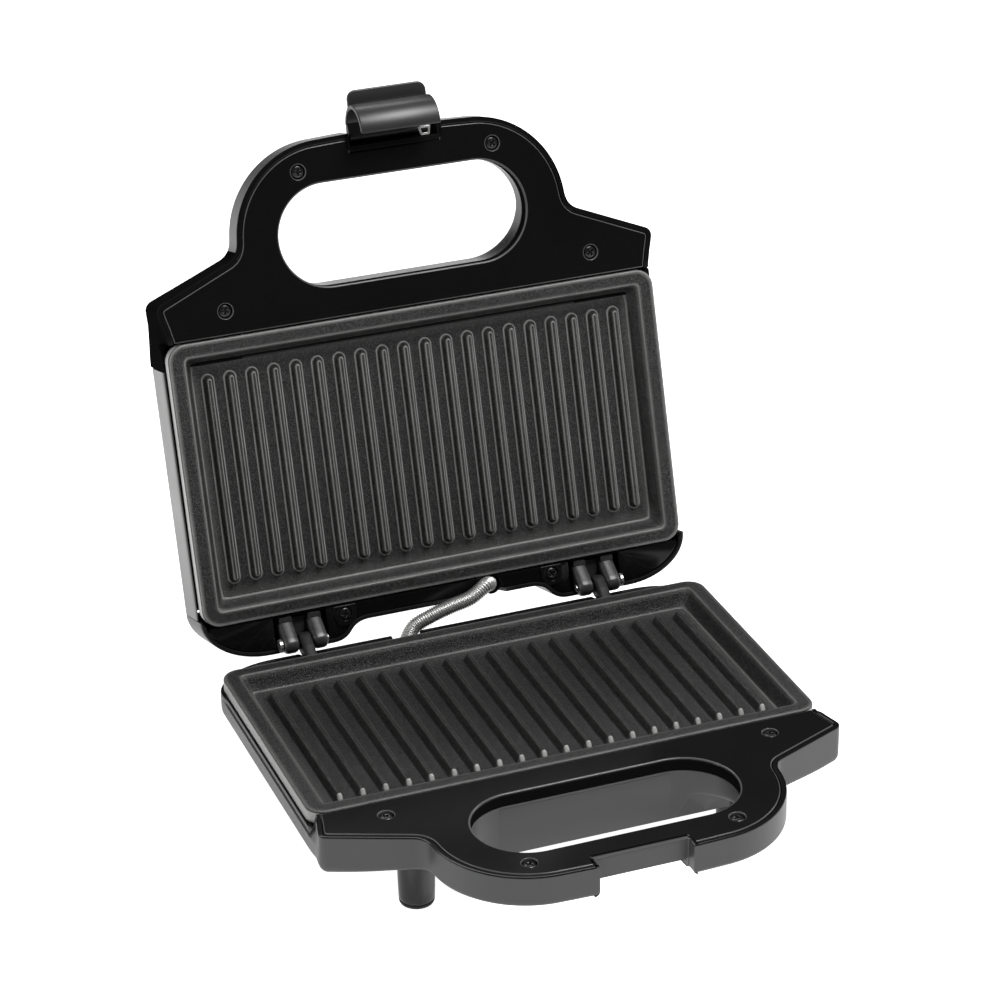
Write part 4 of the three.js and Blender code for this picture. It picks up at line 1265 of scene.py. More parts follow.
        # The lid's plate edge takes a pale copy of the edge finish as painted light.
        edge = PLATE_EDGE if self.half is Half.BASE else LIT_PLATE_EDGE
        piece = form.build(f"{self.half.value}_grill_plate_detail", self.half, (NONSTICK, edge), 60.0)
        return finished(piece, self.half.value, NONSTICK, f"{self.half.value}_grill_plate")

    def spot(self, x: float, y: float, ring: tuple[float, float, float, float], floor: bool) -> Place:
        """Places one grid point.

        Args:
            x: Its column.
            y: Its row, from the plate's middle.
            ring: The ring that it belongs to.
            floor: Whether it lies within the rings, on the floor.

        Returns:
            The point's place in the half frame.
        """
        side, end, depth, radius = ring
        middle_y = PLATE_DEPTH / 2
        if floor:
            return x, y + middle_y, self.recess_depth - self.rib_rise(x, y + middle_y)
        half_x, half_y = PLATE_HALF_WIDTH - side, middle_y - end
        x = max(-half_x, min(half_x, x))
        y = max(-half_y, min(half_y, y))
        from_x, from_y = abs(x) - (half_x - radius), abs(y) - (half_y - radius)
        if from_x > 0 and from_y > 0:
            stretch = radius / math.hypot(from_x, from_y)
            x = math.copysign(half_x - radius + from_x * stretch, x)
            y = math.copysign(half_y - radius + from_y * stretch, y)
        return x, y + middle_y, depth


# ---- handle outlines ----


def loop_side() -> list[Corner]:
    """Left half of the handle's outline, from the wing's front corner to the loop's crown.

    Returns:
        The outline's corners.
    """
    found: list[Corner] = [(-WING_X, WING_Y, 4.5)]
    found += sharp(bend((-83.0, -32.0), (-77.9, -34.0), (-77.3, -40.0), 8))
    found += sharp(arc((-LOOP_X, LOOP_Y), LOOP_RADIUS, 183.6, 270.0, 26)[1:])
    crown = bend((-LOOP_X, LOOP_Y - LOOP_RADIUS), (0.0, -81.5), (LOOP_X, LOOP_Y - LOOP_RADIUS), 24)
    found += sharp(place for place in crown[1:] if place[0] < -NOTCH_HALF_WIDTH)
    return found


def swept_corner(foot: float) -> list[Point]:
    """Left rear corner of a moulding's plan, a quarter of an ellipse.

    Args:
        foot: Where the sweep leaves the long side.

    Returns:
        The corner's points, from the side to the rear.
    """
    found = []
    for degrees in range(0, 91, 6):
        angle = math.radians(degrees)
        across = -BODY_HALF_WIDTH + SWEEP_X - SWEEP_X * math.cos(angle)
        found.append((across, foot + SWEEP_Y * math.sin(angle)))
    return found


def mirrored(left: Sequence[Corner]) -> list[Corner]:
    """A left half outline with its right half added."""
    return list(left) + [(-x, y, radius) for x, y, radius in reversed(left)]


def notch(half_width: float, face: float) -> list[Corner]:
    """Left half of the latch notch, from the crown inwards."""
    return [(-half_width, -80.15, 0.7), (-half_width, face, 0.6)]


def hole_outline(radius: float = HOLE_RADIUS) -> list[Point]:
    """The hand hole's outline.

    Args:
        radius: The hole's end radius.

    Returns:
        The outline's points.
    """
    right = arc((LOOP_X, LOOP_Y), radius, -90, 90, 30)
    left = arc((-LOOP_X, LOOP_Y), radius, 90, 270, 30)
    return rounded(sharp(right + left), 4.0)


def relief(x: float, y: float) -> float:
    """How far the handle's corner steps in at rim level, where it meets the grill plate.

    Args:
        x: Place across.
        y: Place along the half, from the plate's handle edge.

    Returns:
        The step inwards.
    """
    if y > 1.5 or y < -16.8:
        return 0.0
    share = max(0.0, (-1.5 - y) / 15.3)
    return 2.7 * (1 - share) ** 1.4 * smooth(102.0, 111.0, abs(x))


# ---- handle face ----


@dataclass
class HandleFace:
    """The glossy face of a handle, with its counterbores, hand-hole lip and four screws."""

    half: Half
    thickness: float = 3.0
    edge: float = 0.55
    lip: float = 5.6
    margin: float = WALL + GAP
    counterbore: float = 3.4
    sink: float = 1.8

    def outline(self) -> list[Point]:
        """The face's outline: the handle's, set in from the shell's rim.

        Returns:
            The outline's points.
        """
        left: list[Corner] = [(-BODY_HALF_WIDTH, 20.0, 0.0), (-BODY_HALF_WIDTH, -8.0, 0.0)]
        full = Loop(rounded(mirrored(left + loop_side()), 2.0))
        inner = [(x + into.x * self.margin, y + into.y * self.margin)
                 for (x, y), into in zip(full.points, full.into)]
        kept = [(x, y) for x, y in inner if y < -0.8 and not (abs(x) < NOTCH_HALF_WIDTH + 0.5 and y < -70)]
        kept = [(x - math.copysign(relief(x, y), x), y) for x, y in kept]
        left_run = sorted((place for place in kept if place[0] < 0), key=lambda place: self.along(place))
        face = NOTCH_FACE_Y + WALL + GAP
        reach = NOTCH_HALF_WIDTH + 0.5
        edge_left = [(-111.1, -0.8, 0.5)] + sharp(left_run) + [(-reach, -77.6, 0.5), (-reach, face, 0.5)]
        return rounded(mirrored(edge_left), 2.5)

    @staticmethod
    def along(place: Point) -> float:
        """Orders the left half's points from the plate to the crown.

        Args:
            place: The point.

        Returns:
            A number that rises along the outline.
        """
        x, y = place
        if x < -78.5:
            return math.degrees(math.atan2(y + 5.0, x + 100.0)) % 360.0 - 400.0
        return math.degrees(math.atan2(y - LOOP_Y, x + LOOP_X)) % 360.0

    def build(self) -> list[bpy.types.Object]:
        """Builds the face and its screws.

        Returns:
            The pieces.
        """
        bores = [Loop(arc(place, self.counterbore, 0, 345, 23), True) for place in HANDLE_SCREWS]
        wall = [(0.0, self.thickness), (0.0, 1.6)]
        round_edge = [(inset, self.edge - rise) for inset, rise in quarter(self.edge, self.edge)]
        round_edge.append((self.edge + 0.3, 0.0))
        lip_edge = [(inset, 0.9 - rise) for inset, rise in quarter(0.9, 0.9, 5)] + [(1.2, 0.0)]
        ring = [(-self.counterbore + 1.6, self.sink), (-0.5, self.sink), (-0.2, self.sink - 0.05),
                (0.0, self.sink - 0.3), (0.0, 0.4), (0.05, 0.16), (0.2, 0.04), (0.42, 0.0), (0.6, 0.0)]
        form = Form()
        skin(form, [Loop(self.outline()), Loop(hole_outline(), True)] + bores,
             [lambda x, y: wall + round_edge, lambda x, y: [(0.0, self.lip), (0.0, 3.0)] + lip_edge]
             + [lambda x, y: ring] * len(bores), lambda x, y: 0.0, COARSE, hole_rows=2)
        # Painted highlight: a light line along the face's rounded outer edges.
        form.wear_and_highlight = {index: 0.8 for index, place in enumerate(form.places) if 0.03 < place[2] < 0.45}
        for index, corners in enumerate(form.faces):
            spots = [form.places[corner] for corner in corners]
            if all(abs(x) < NOTCH_HALF_WIDTH + 0.8 and y < NOTCH_FACE_Y + WALL + 1.2 for x, y, _ in spots):
                form.kinds[index] = 1
        name = self.half.value
        piece = form.build(f"{name}_handle_face_detail", self.half, (GLOSS, END_SATIN), 50.0)
        pieces = [finished(piece, name, GLOSS, f"{name}_handle_face")]
        sides = {-1: "left", 1: "right"}
        turn = -1 if self.half is Half.BASE else 1
        for index, (x, y) in enumerate(HANDLE_SCREWS):
            kind = "wing" if index < 2 else "loop"
            side = sides[1 if turn * x > 0 else -1]
            spot = (x, y, 0.35)
            pieces.append(Screw(f"{name}_screw_{kind}_{side}", self.half, spot, 20.0 + 37.0 * index).build())
        return pieces


@dataclass
class Screw:
    """A cross-recessed pan-head screw whose head faces out of the mating face."""

    node: str
    half: Half
    place: Place
    turned: float = 0.0
    radius: float = 2.85
    height: float = 1.35
    slot_width: float = 0.42
    slot_reach: float = 1.75
    out: int = -1

    def dip(self, x: float, y: float) -> float:
        """Depth of the cross recess at a place on the head.

        Args:
            x: Place across, from the head's middle.
            y: Place along, from the head's middle.

        Returns:
            The depth.
        """
        angle = math.radians(self.turned)
        a = abs(x * math.cos(angle) + y * math.sin(angle))
        b = abs(y * math.cos(angle) - x * math.sin(angle))
        across, along = min(a, b), max(a, b)
        wing = smooth(self.slot_width + 0.2, self.slot_width - 0.12, across)
        end = smooth(self.slot_reach, self.slot_reach - 0.35, along)
        well = smooth(1.15, 0.5, math.hypot(x, y))
        return 0.85 * max(wing * end, well)

    def build(self) -> bpy.types.Object:
        """Builds the head and a short shank.

        Returns:
            The finished screw.
        """
        form = Form()
        radii = (0.0, 0.2, 0.4, 0.6, 0.8, 1.0, 1.2, 1.4, 1.6, 1.8, 2.0, 2.25, 2.5, 2.68, 2.8, 2.85)
        segments = 40
        rings = []
        for radius in radii:
            ring = []
            for step in range(segments):
                angle = 2 * math.pi * step / segments
                x, y = radius * math.cos(angle), radius * math.sin(angle)
                share = radius / self.radius
                dome = 0.5 * share ** 2 + 0.35 * smooth(0.86, 1.0, share)
                ring.append((x, y, dome + self.dip(x, y)))
            rings.append(ring)
        rings.append([(x, y, self.height) for x, y, _ in rings[-1]])
        rings.append([(x * 0.5, y * 0.5, self.height) for x, y, _ in rings[-1]])
        rings.append([(x, y, self.height + 3.0) for x, y, _ in rings[-1]])
        px, py, pz = self.place
        made = [form.ring([(px + x, py + y, pz - self.out * z) for x, y, z in ring]) for ring in rings]
        form.stack(made)
        form.fan(made[-1], (px, py, pz - self.out * (self.height + 3.0)))
        piece = form.build(f"{self.node}_detail", self.half, (SCREW_STEEL,), 42.0)
        return finished(piece, self.half.value, SCREW_STEEL, self.node)


# ---- shells ----


@dataclass
class HandleShell:
    """Shell moulding with the handle loop: the base's housing or the lid's front moulding."""

    half: Half
    rear: float
    profile: tuple[Point, ...]
    long_edge: tuple[float, float]
    ledge: float
    rear_corner: float = 4.0
    wall_rows: int = 22
    finish: Finish = DEEP_SATIN
    grid: float = 7.0

    def outline(self) -> list[Point]:
        """The moulding's outline, with the latch notch.

        Returns:
            The outline's points.
        """
        left: list[Corner] = [(-BODY_HALF_WIDTH, self.rear, self.rear_corner), (-BODY_HALF_WIDTH, -0.3, 0.0),
                              (-BODY_HALF_WIDTH, -0.5, 0.0), (-BODY_HALF_WIDTH, -8.0, 6.0)]
        return rounded(mirrored(left + loop_side() + notch(NOTCH_HALF_WIDTH, NOTCH_FACE_Y)), 2.0)

    def bottom(self, x: float, y: float) -> float:
        """Depth of the outer surface."""
        return softened(self.profile, y, 3.5)

    def rim(self, x: float, y: float) -> float:
        """Depth at which the wall starts: the mating face by the handle, lower beside the plate."""
        return 0.0 if y < -0.4 else BODY_RIM

    def side(self, x: float, y: float) -> float:
        """How much a place belongs to a long side, from 0 to 1."""
        return smooth(104.0, 113.0, abs(x)) * smooth(-22.0, -2.0, y) * smooth(self.rear, self.rear - 12.0, y)

    def rows(self, x: float, y: float) -> list[Point]:
        """Steps of the wall at a place, from the groove inside the rim to the outer surface.

        Args:
            x: Place across.
            y: Place along the half, from the plate's handle edge.

        Returns:
            Insets and heights, from the open edge inwards.
        """
        low, deep, side = self.rim(x, y), self.bottom(x, y), self.side(x, y)
        across = 2.2 + (self.long_edge[0] - 2.2) * side
        up = 2.2 + (self.long_edge[1] - 2.2) * side
        found = [(WALL, low + 3.4), (WALL, low + 0.45), (WALL - 0.16, low + 0.1), (WALL - 0.5, low),
                 (0.5, low), (0.16, low + 0.1), (0.0, low + 0.5)]
        start, stop = low + 0.5, deep - up
        found += [(0.0, start + (stop - start) * row / self.wall_rows) for row in range(1, self.wall_rows)]
        found += [(inset, stop + rise) for inset, rise in quarter(across, up, 6)]
        return found

    def shape(self, x: float, y: float, z: float) -> Place:
        """Steps the rim in at the wings and cuts the pocket under the latch ledge.

        Args:
            x: Place across.
            y: Place along the half, from the plate's handle edge.
            z: Depth into the half.

        Returns:
            The changed place.
        """
        x -= math.copysign(relief(x, y) * smooth(BODY_RIM + 2.6, BODY_RIM - 1.4, z), x)
        if self.ledge and z > self.ledge and abs(x) < NOTCH_HALF_WIDTH - 0.3 and y < -72.0:
            y = max(y, -68.0)
        return x, y, z

    def hole_rows(self, x: float, y: float) -> list[Point]:
        """Steps of the hand hole's wall.

        Args:
            x: Place across.
            y: Place along the half, from the plate's handle edge.

        Returns:
            Insets and heights, from the open edge inwards.
        """
        deep = self.bottom(x, y)
        stop = deep - 2.2
        found = [(0.9, 5.95), (0.12, 5.95), (0.0, 6.1)]
        found += [(0.0, 6.1 + (stop - 6.1) * row / 6) for row in range(1, 6)]
        return found + [(inset, stop + rise) for inset, rise in quarter(2.0, 2.2, 5)]

    def openings(self) -> list[Loop]:
        """Further openings through the outer surface."""
        return []

    def wall_kind(self, spot: Place, kind: int) -> int:
        """Chooses the finish of a wall's face: the notch has no glossy rim.

        Args:
            spot: One of the face's corners.
            kind: The finish that the face has so far.

        Returns:
            The finish's number.
        """
        return 0 if self.notched(spot) else kind

    @staticmethod
    def notched(spot: Place) -> bool:
        """Says whether a place belongs to the latch notch."""
        return abs(spot[0]) < NOTCH_HALF_WIDTH + 0.5 and spot[1] < NOTCH_FACE_Y + WALL + 0.5

    def extras(self, form: Form) -> None:
        """Adds what the skin can't hold, if anything."""

    def build(self, name: str, node: str) -> bpy.types.Object:
        """Builds the moulding.

        Args:
            name: The piece's name.
            node: The solid that it stands for.

        Returns:
            The finished moulding.
        """
        form = Form()
        extra = self.openings()
        edge = [(0.0, 2.2), (0.0, 0.4), (0.12, 0.1), (0.4, 0.0)]

        def lip(x: float, y: float) -> list[Point]:
            deep = self.bottom(x, y)
            return [(inset, deep - rise) for inset, rise in edge]

        skin(form, [Loop(self.outline()), Loop(hole_outline(), True)] + extra,
             [self.rows, self.hole_rows] + [lip] * len(extra), lambda x, y: self.bottom(x, y), self.grid,
             warp=self.shape, rim_rows=6)
        for index, corners in enumerate(form.faces):
            spots = [form.places[corner] for corner in corners]
            if any(z <= self.bottom(x, y) - 0.3 for x, y, z in spots):
                form.kinds[index] = self.wall_kind(spots[0], form.kinds[index])
        self.extras(form)
        piece = form.build(name, self.half, (self.finish, GLOSS, END_SATIN), 34.0)
        return finished(piece, self.half.value, SATIN, node)


@dataclass
class BaseHousing(HandleShell):
    """The base's tub: finger recess along each side, vents and the wiring sleeve's slot."""

    half: Half = Half.BASE
    rear: float = 138.5
    profile: tuple[Point, ...] = ((-90, 14), (-38, 14.6), (-26, 17), (-12, 19), (0, 21), (200, 21))
    long_edge: tuple[float, float] = (7.0, 7.0)
    ledge: float = 9.5
    wall_rows: int = 24
    finish: Finish = SATIN
    grid: float = 4.5
    sump_half: float = 67.0
    sump_front: float = -15.0
    sump_depth: float = 30.0
    rear_rim: float = 5.3
    side_groove: float = 0.7

    def outline(self) -> list[Point]:
        """The tub's outline, with the latch notch and swept rear corners.

        Returns:
            The outline's points.
        """
        left: list[Corner] = sharp(reversed(swept_corner(self.rear - SWEEP_Y)))
        left += [(-BODY_HALF_WIDTH, -0.3, 0.0), (-BODY_HALF_WIDTH, -0.5, 0.0), (-BODY_HALF_WIDTH, -8.0, 6.0)]
        return rounded(mirrored(left + loop_side() + notch(NOTCH_HALF_WIDTH, NOTCH_FACE_Y)), 2.0)

    def rim(self, x: float, y: float) -> float:
        """Depth at which the wall starts, lower where the wiring sleeve and the knuckles pass.

        Args:
            x: Place across.
            y: Place along the half, from the plate's handle edge.

        Returns:
            The depth.
        """
        if y > 130 and abs(x - SLEEVE_BASE_X) < 6.0:
            return 14.6
        if y > 130 and abs(abs(x) - HINGE_X) > 3.6:
            return self.rear_rim
        return super().rim(x, y)

    def bottom(self, x: float, y: float) -> float:
        """Depth of the outer surface, deepest in the sump behind the hand hole.

        Args:
            x: Place across.
            y: Place along the half, from the plate's handle edge.

        Returns:
            The depth.
        """
        tray = softened(self.profile, y, 3.5)
        inward_x = smooth(self.sump_half + 0.5, self.sump_half - 3.5, abs(x))
        inward_y = smooth(self.sump_front - 3.5, self.sump_front - 0.2, y)
        return tray + (self.sump_depth - tray) * inward_x * inward_y

    def side(self, x: float, y: float) -> float:
        """How much a place belongs to a long side, from 0 to 1."""
        return smooth(85.0, 100.0, abs(x)) * smooth(-26.0, -6.0, y)

    def shape(self, x: float, y: float, z: float) -> Place:
        """Adds the narrow groove along the top of each side wall, round at its front end.

        Args:
            x: Place across.
            y: Place along the half, from the plate's handle edge.
            z: Depth into the half.

        Returns:
            The changed place.
        """
        x, y, z = super().shape(x, y, z)
        if abs(x) > 112 and y > -5:
            cut = self.side_groove * smooth(9.2, 8.4, z) * smooth(-4.5, -2.5, y) * smooth(118, 112, y)
            x -= math.copysign(cut, x)
        return x, y, z

    def extras(self, form: Form) -> None:
        """Adds the sump's upright front wall.

        Args:
            form: The form to add to.
        """
        reach, front = self.sump_half, self.sump_front - 0.2
        plan = oblong(-reach, front, reach, front + 2.6, 1.0)
        slab(form, rounded(plan, 6.0), 6.4, self.sump_depth, 0.8)

    def openings(self) -> list[Loop]:
        """Five vents and two screw holes in the underside.

        Returns:
            The loops.
        """
        found = []
        for step in (-2, -1, 0, 1, 2):
            x = 14.0 * step
            found.append(Loop(rounded(oblong(x - 2.5, 30.0, x + 2.5, 52.0, 2.4), 4.0), True))
        for x in (-60.0, 60.0):
            found.append(Loop(arc((x, PLATE_DEPTH / 2), 3.2, 0, 337.5, 15), True))
        return found


@dataclass
class LidFrontShell(HandleShell):
    """The lid's handle moulding: dull-walled wings and a ledge behind the latch's hub."""

    half: Half = Half.LID
    rear: float = 11.4
    profile: tuple[Point, ...] = ((-90, 14), (-38, 14.6), (-24, 18.5), (-11, 24.5), (-2, 28), (3, 29),
                                  (200, 29))
    long_edge: tuple[float, float] = (5.0, 5.0)
    ledge: float = 0.0
    rear_corner: float = 0.6
    wing_start: float = 79.0
    ledge_reach: float = NOTCH_HALF_WIDTH - 0.2

    def wall_kind(self, spot: Place, kind: int) -> int:
        """Chooses the finish of a wall's face: dull in the notch and on the wings.

        Args:
            spot: One of the face's corners.
            kind: The finish that the face has so far.

        Returns:
            The finish's number.
        """
        return 2 if self.notched(spot) or abs(spot[0]) > self.wing_start else kind

    def extras(self, form: Form) -> None:
        """Adds the ledge behind the latch's hub.

        Args:
            form: The form to add to.
        """
        reach = self.ledge_reach
        plan = oblong(-reach, -77.3, reach, -74.2, 0.3)
        slab(form, rounded(plan, 6.0), 11.5, 13.6, 0.3, 2)


@dataclass
class LidRearShell:
    """The lid's hinge moulding: outer skin with a wide scoop, and a glossy inner face."""

    half: Half = Half.LID
    front: float = 124.0
    rear: float = 144.0
    scoop: float = 136.0
    side_line: tuple[Point, ...] = ((-200, 29), (132, 29), (138, 27.5), (142, 23), (144, 20), (200, 20))

    def outline(self) -> list[Point]:
        """The moulding's plan.

        Returns:
            The outline's points.
        """
        half = BODY_HALF_WIDTH
        left: list[Corner] = [(-1.0, self.front, 0.0), (-half, self.front, 0.0)]
        left += sharp(swept_corner(self.front)[1:])
        left.append((-58.0, self.rear, 0.0))
        left += sharp(bend((-57, self.rear), (-51, self.rear), (-48, 140), 6))
        left += sharp(bend((-48, 140), (-45, self.scoop), (-39, self.scoop), 6)[1:])
        left.append((-1.0, self.scoop, 0.0))
        return rounded(mirrored(left), 2.5)

    def bottom(self, x: float, y: float) -> float:
        """Depth of the outer surface."""
        return softened(self.side_line, y, 2.0)

    def rim(self, x: float, y: float) -> float:
        """Depth at which the wall starts.

        Args:
            x: Place across.
            y: Place along the half, from the plate's handle edge.

        Returns:
            The depth.
        """
        if y < PLATE_DEPTH + 0.4 and abs(x) < PLATE_HALF_WIDTH + 0.4:
            return BODY_RIM + 0.3
        if y > 130 and abs(x - SLEEVE_LID_X) < 5.0:
            return 9.0
        return 0.0

    def rows(self, x: float, y: float) -> list[Point]:
        """Steps of the wall, from inside the rim to the outer surface.

        Args:
            x: Place across.
            y: Place along the half, from the plate's handle edge.

        Returns:
            Insets and heights, from the open edge inwards.
        """
        low, deep = self.rim(x, y), self.bottom(x, y)
        wide = 2.0 + 2.6 * smooth(100, 114, abs(x))
        found = [(2.0, low + 1.6), (2.0, low + 0.4), (1.88, low + 0.1), (1.6, low), (0.45, low),
                 (0.12, low + 0.12), (0.0, low + 0.45)]
        start, stop = low + 0.45, deep - wide
        found += [(0.0, start + (stop - start) * row / 8) for row in range(1, 8)]
        return found + [(inset, stop + rise) for inset, rise in quarter(wide, wide, 5)]

    def build(self) -> list[bpy.types.Object]:
        """Builds the outer skin, the inner face and the two screws.

        Returns:
            The pieces.
        """
        form = Form()
        outer = Loop(self.outline())
        skin(form, [outer], [self.rows], self.bottom, 2.4)
        piece = form.build("lid_rear_shell_detail", Half.LID, (DEEP_SATIN,), 34.0)
        pieces = [finished(piece, "lid", DEEP_SATIN, "lid_rear_shell")]
        pieces.append(self.inner_face(outer))
        for name, x, turned in (("left", -EAR_X, 12.0), ("right", EAR_X, 55.0)):
            pieces.append(Screw(f"lid_rear_screw_{name}", Half.LID, (x, EAR_Y, 0.0), turned).build())
        return pieces

    def inner_face(self, outer: Loop) -> bpy.types.Object:
        """Builds the face between the rim and the grill plate, with hinge pockets and screw ears.

        Args:
            outer: The moulding's outline.

        Returns:
            The finished face.
        """
        inner = [(x + into.x * 2.2, y + into.y * 2.2) for (x, y), into in zip(outer.points, outer.into)]
        front = PLATE_DEPTH + 0.5
        reach = max(abs(x) for x, y in inner if y > front)
        swept = sorted((x, y) for x, y in inner if y > front)
        face = [(-reach, front)] + swept + [(reach, front)]
        form = Form()
        holes = []
        for side in (-1, 1):
            x = side * HINGE_X
            holes.append(Loop(rounded(oblong(x - 12.4, 128.0, x + 12.4, 141.6, 0.6), 4.0), True))
        sleeve = Loop(arc((SLEEVE_LID_X, 131.4), 4.1, 0, 345, 23), True)
        ears = []
        for side in (-1, 1):
            x = side * EAR_X
            front_y = PLATE_DEPTH + 0.9
            corners = [(x - 5.4, front_y, 0.6), (x + 5.4, front_y, 0.6), (x + 5.2, 133.0, 1.5),
                       (x + 3.6, 137.3, 2.2), (x - 3.6, 137.3, 2.2), (x - 5.2, 133.0, 1.5)]
            ears.append(rounded(corners, 2.0))
        pocket = [(0.0, 7.4), (0.0, 1.6), (0.1, 1.15), (0.4, 1.0)]
        skin(form, [Loop(face)] + holes + [sleeve],
             [lambda x, y: [(0.0, 1.6), (0.1, 1.1), (0.4, 1.0)], lambda x, y: pocket, lambda x, y: pocket,
              lambda x, y: pocket], lambda x, y: 1.0, COARSE)
        for hole in holes:
            form.cap([form.ring([(x, y, 7.4) for x, y in reversed(hole.points)])], lambda x, y: 7.4, COARSE)
        for ear in ears:
            centre = (sum(x for x, _ in ear) / len(ear), EAR_Y)
            bore = arc(centre, 3.15, 0, 345, 23)
            slab(form, ear, 0.15, 1.3, 0.3, holes=[bore])
        piece = form.build("lid_rear_inner_face", Half.LID, (GLOSS,), 40.0)
        return finished(piece, "lid", GLOSS)


@dataclass
class LidCover:
    """Steel skin over the lid: a channel with rounded long edges and hemmed rims."""

    front: float = 11.7
    rear: float = 123.7
    top: float = 29.0
    low: float = 6.4
    corner: float = 5.0
    thickness: float = 0.8

    def section(self, margin: float) -> list[Point]:
        """Half of the channel's section, from the left rim over to the middle.

        Args:
            margin: How far inside the outer skin to stay.

        Returns:
            The section's points.
        """
        half, top = BODY_HALF_WIDTH - margin, self.top - margin
        round_corner = arc((-half + self.corner, top - self.corner), self.corner, 180, 90, 10)
        wall = [(-half, self.low + (top - self.corner - self.low) * step / 6) for step in range(6)]
        flat = [(-half + self.corner + (half - self.corner) * step / 8, top) for step in range(1, 9)]
        return wall + round_corner + flat

    def build(self) -> bpy.types.Object:
        """Builds the outer and inner skins with rounded hems between them.

        Returns:
            The finished cover.
        """
        form = Form()
        outer = self.section(0.0)
        inner = self.section(self.thickness)
        hem = [(outer[0][0] + 0.1, self.low - 0.3), (outer[0][0] + self.thickness / 2, self.low - 0.42),
               (inner[0][0] - 0.1, self.low - 0.3)]
        line = list(reversed(outer)) + hem + inner
        whole = line + [(-x, z) for x, z in reversed(line[1:-1])]
        between = [self.front + (self.rear - self.front) * step / 8 for step in range(1, 8)]
        stations = [self.front, self.front + 0.25] + between + [self.rear - 0.25, self.rear]
        rings = [form.ring([(x, y, z) for x, z in whole]) for y in stations]
        form.stack(rings)
        for ring in (rings[0], rings[-1]):
            last = 2 * len(outer) + 2
            for index in range(len(outer) - 1):
                form.face((ring[index], ring[index + 1], ring[last - 1 - index], ring[last - index]))
        piece = form.build("lid_cover_detail", Half.LID, (COVER_STEEL,), 35.0)
        return finished(piece, "lid", COVER_STEEL, "lid_cover")


# ---- latch and hinge ----


@dataclass
class Latch:
    """The latch: hub, curved hook and flared finger tab."""

    pivot: Point = (-77.8, 8.0)
    half_width: float = 18.4
    hook_centre: Point = (-80.6, -1.2)
    hook_radius: float = 12.0
    thickness: float = 2.0
    tab_end: float = -98.6

    def build(self) -> bpy.types.Object:
        """Builds the latch in the lid's frame.

        Returns:
            The finished latch.
        """
        form = Form()
        width = self.half_width
        outer = arc(self.hook_centre, self.hook_radius, 104, 272, 30)
        inner = arc(self.hook_centre, self.hook_radius - self.thickness, 272, 104, 30)
        hook = [(*outer[0], 0.6)] + sharp(outer[1:-1]) + [(*outer[-1], 0.8)]
        hook += [(*inner[0], 0.8)] + sharp(inner[1:-1]) + [(*inner[-1], 0.6)]
        slab(form, rounded(hook, 3.0), -width, width, 0.5, axis="X")
        web = [(-78.4, 10.6, 0.8), (-84.4, 10.1, 0.4), (-83.6, 7.6, 0.4), (-78.6, 5.6, 0.8)]
        slab(form, rounded(web, 3.0), -width + 0.05, width - 0.05, 0.4, axis="X")
        tab = [(-width, self.tab_end, 5.0), (width, self.tab_end, 5.0)]
        tab += sharp([(width, -90.4), (-width, -90.4)])
        slab(form, rounded(tab, 2.0), 2.2, 4.2, 0.6)
        hub = [(0.0, -width), (2.3, -width), (2.6, -width + 0.15), (2.7, -width + 0.5), (2.7, width - 0.5),
               (2.6, width - 0.15), (2.3, width), (0.0, width)]
        lathe(form, hub, (0.0, self.pivot[0], self.pivot[1]), "X", 28)
        piece = form.build("latch_detail", Half.LID, (LATCH_SATIN,), 38.0)
        return finished(piece, "latch", LATCH_SATIN, "latch")


@dataclass
class Hinge:
    """One hinge: the lid's bracket with two arms and the base's knuckle."""

    side: int
    knuckle: float = 4.2

    def name(self) -> str:
        """The side's name."""
        return "left" if self.side < 0 else "right"

    def arm(self) -> list[Point]:
        """Outline of a lid arm in y and z, with its round eye.

        Returns:
            The outline's points.
        """
        axis = -HINGE_DROP - CLOSED_GAP
        eye = arc((HINGE_Y, axis), self.knuckle, -118, 38, 22)
        corners: list[Corner] = [(129.6, 7.2, 0.5), (129.6, 3.0, 0.8)]
        corners += sharp(eye)
        corners += [(141.2, 4.6, 1.0), (139.5, 7.2, 0.5)]
        return rounded(corners, 2.0)

    def build(self) -> list[bpy.types.Object]:
        """Builds the bracket and knuckle.

        Returns:
            The pieces.
        """
        centre = self.side * HINGE_X
        bracket = Form()
        for start, end in ((-10.4, -3.1), (3.1, 10.4)):
            slab(bracket, self.arm(), centre + start, centre + end, 2.2, axis="X")
            step = [(centre + start + 0.9, 128.4, 0.8), (centre + end - 0.5, 128.4, 0.8),
                    (centre + end - 0.5, 131.2, 0.6), (centre + start + 0.9, 131.2, 0.6)]
            slab(bracket, rounded(step, 2.0), 1.6, 5.2, 0.4)
        foot = oblong(centre - 10.4, 129.7, centre + 10.4, 139.0, 0.6)
        slab(bracket, rounded(foot, 3.0), 4.9, 7.15, 0.4)
        piece = bracket.build(f"lid_hinge_bracket_{self.name()}_detail", Half.LID, (HINGE_STEEL,), 40.0)
        pieces = [finished(piece, "lid", HINGE_STEEL, f"lid_hinge_bracket_{self.name()}")]
        eye = arc((HINGE_Y, HINGE_DROP), self.knuckle, -115, 40, 22)
        neck: list[Corner] = [(129.0, 9.7, 0.4), (129.0, 3.4, 1.2), (134.0, -0.6, 1.5)]
        neck += sharp(eye)
        neck += [(141.4, 5.2, 0.8), (138.6, 6.1, 0.6), (135.7, 6.1, 0.3), (135.7, 9.7, 0.3)]
        knuckle = Form()
        slab(knuckle, rounded(neck, 2.0), -centre - 2.7, -centre + 2.7, 1.2, axis="X")
        piece = knuckle.build(f"base_hinge_knuckle_{self.name()}_detail", Half.BASE, (SHADED_KNUCKLE_STEEL,), 40.0)
        pieces.append(finished(piece, "base", SHADED_KNUCKLE_STEEL, f"base_hinge_knuckle_{self.name()}"))
        return pieces


# ---- feet and fittings ----


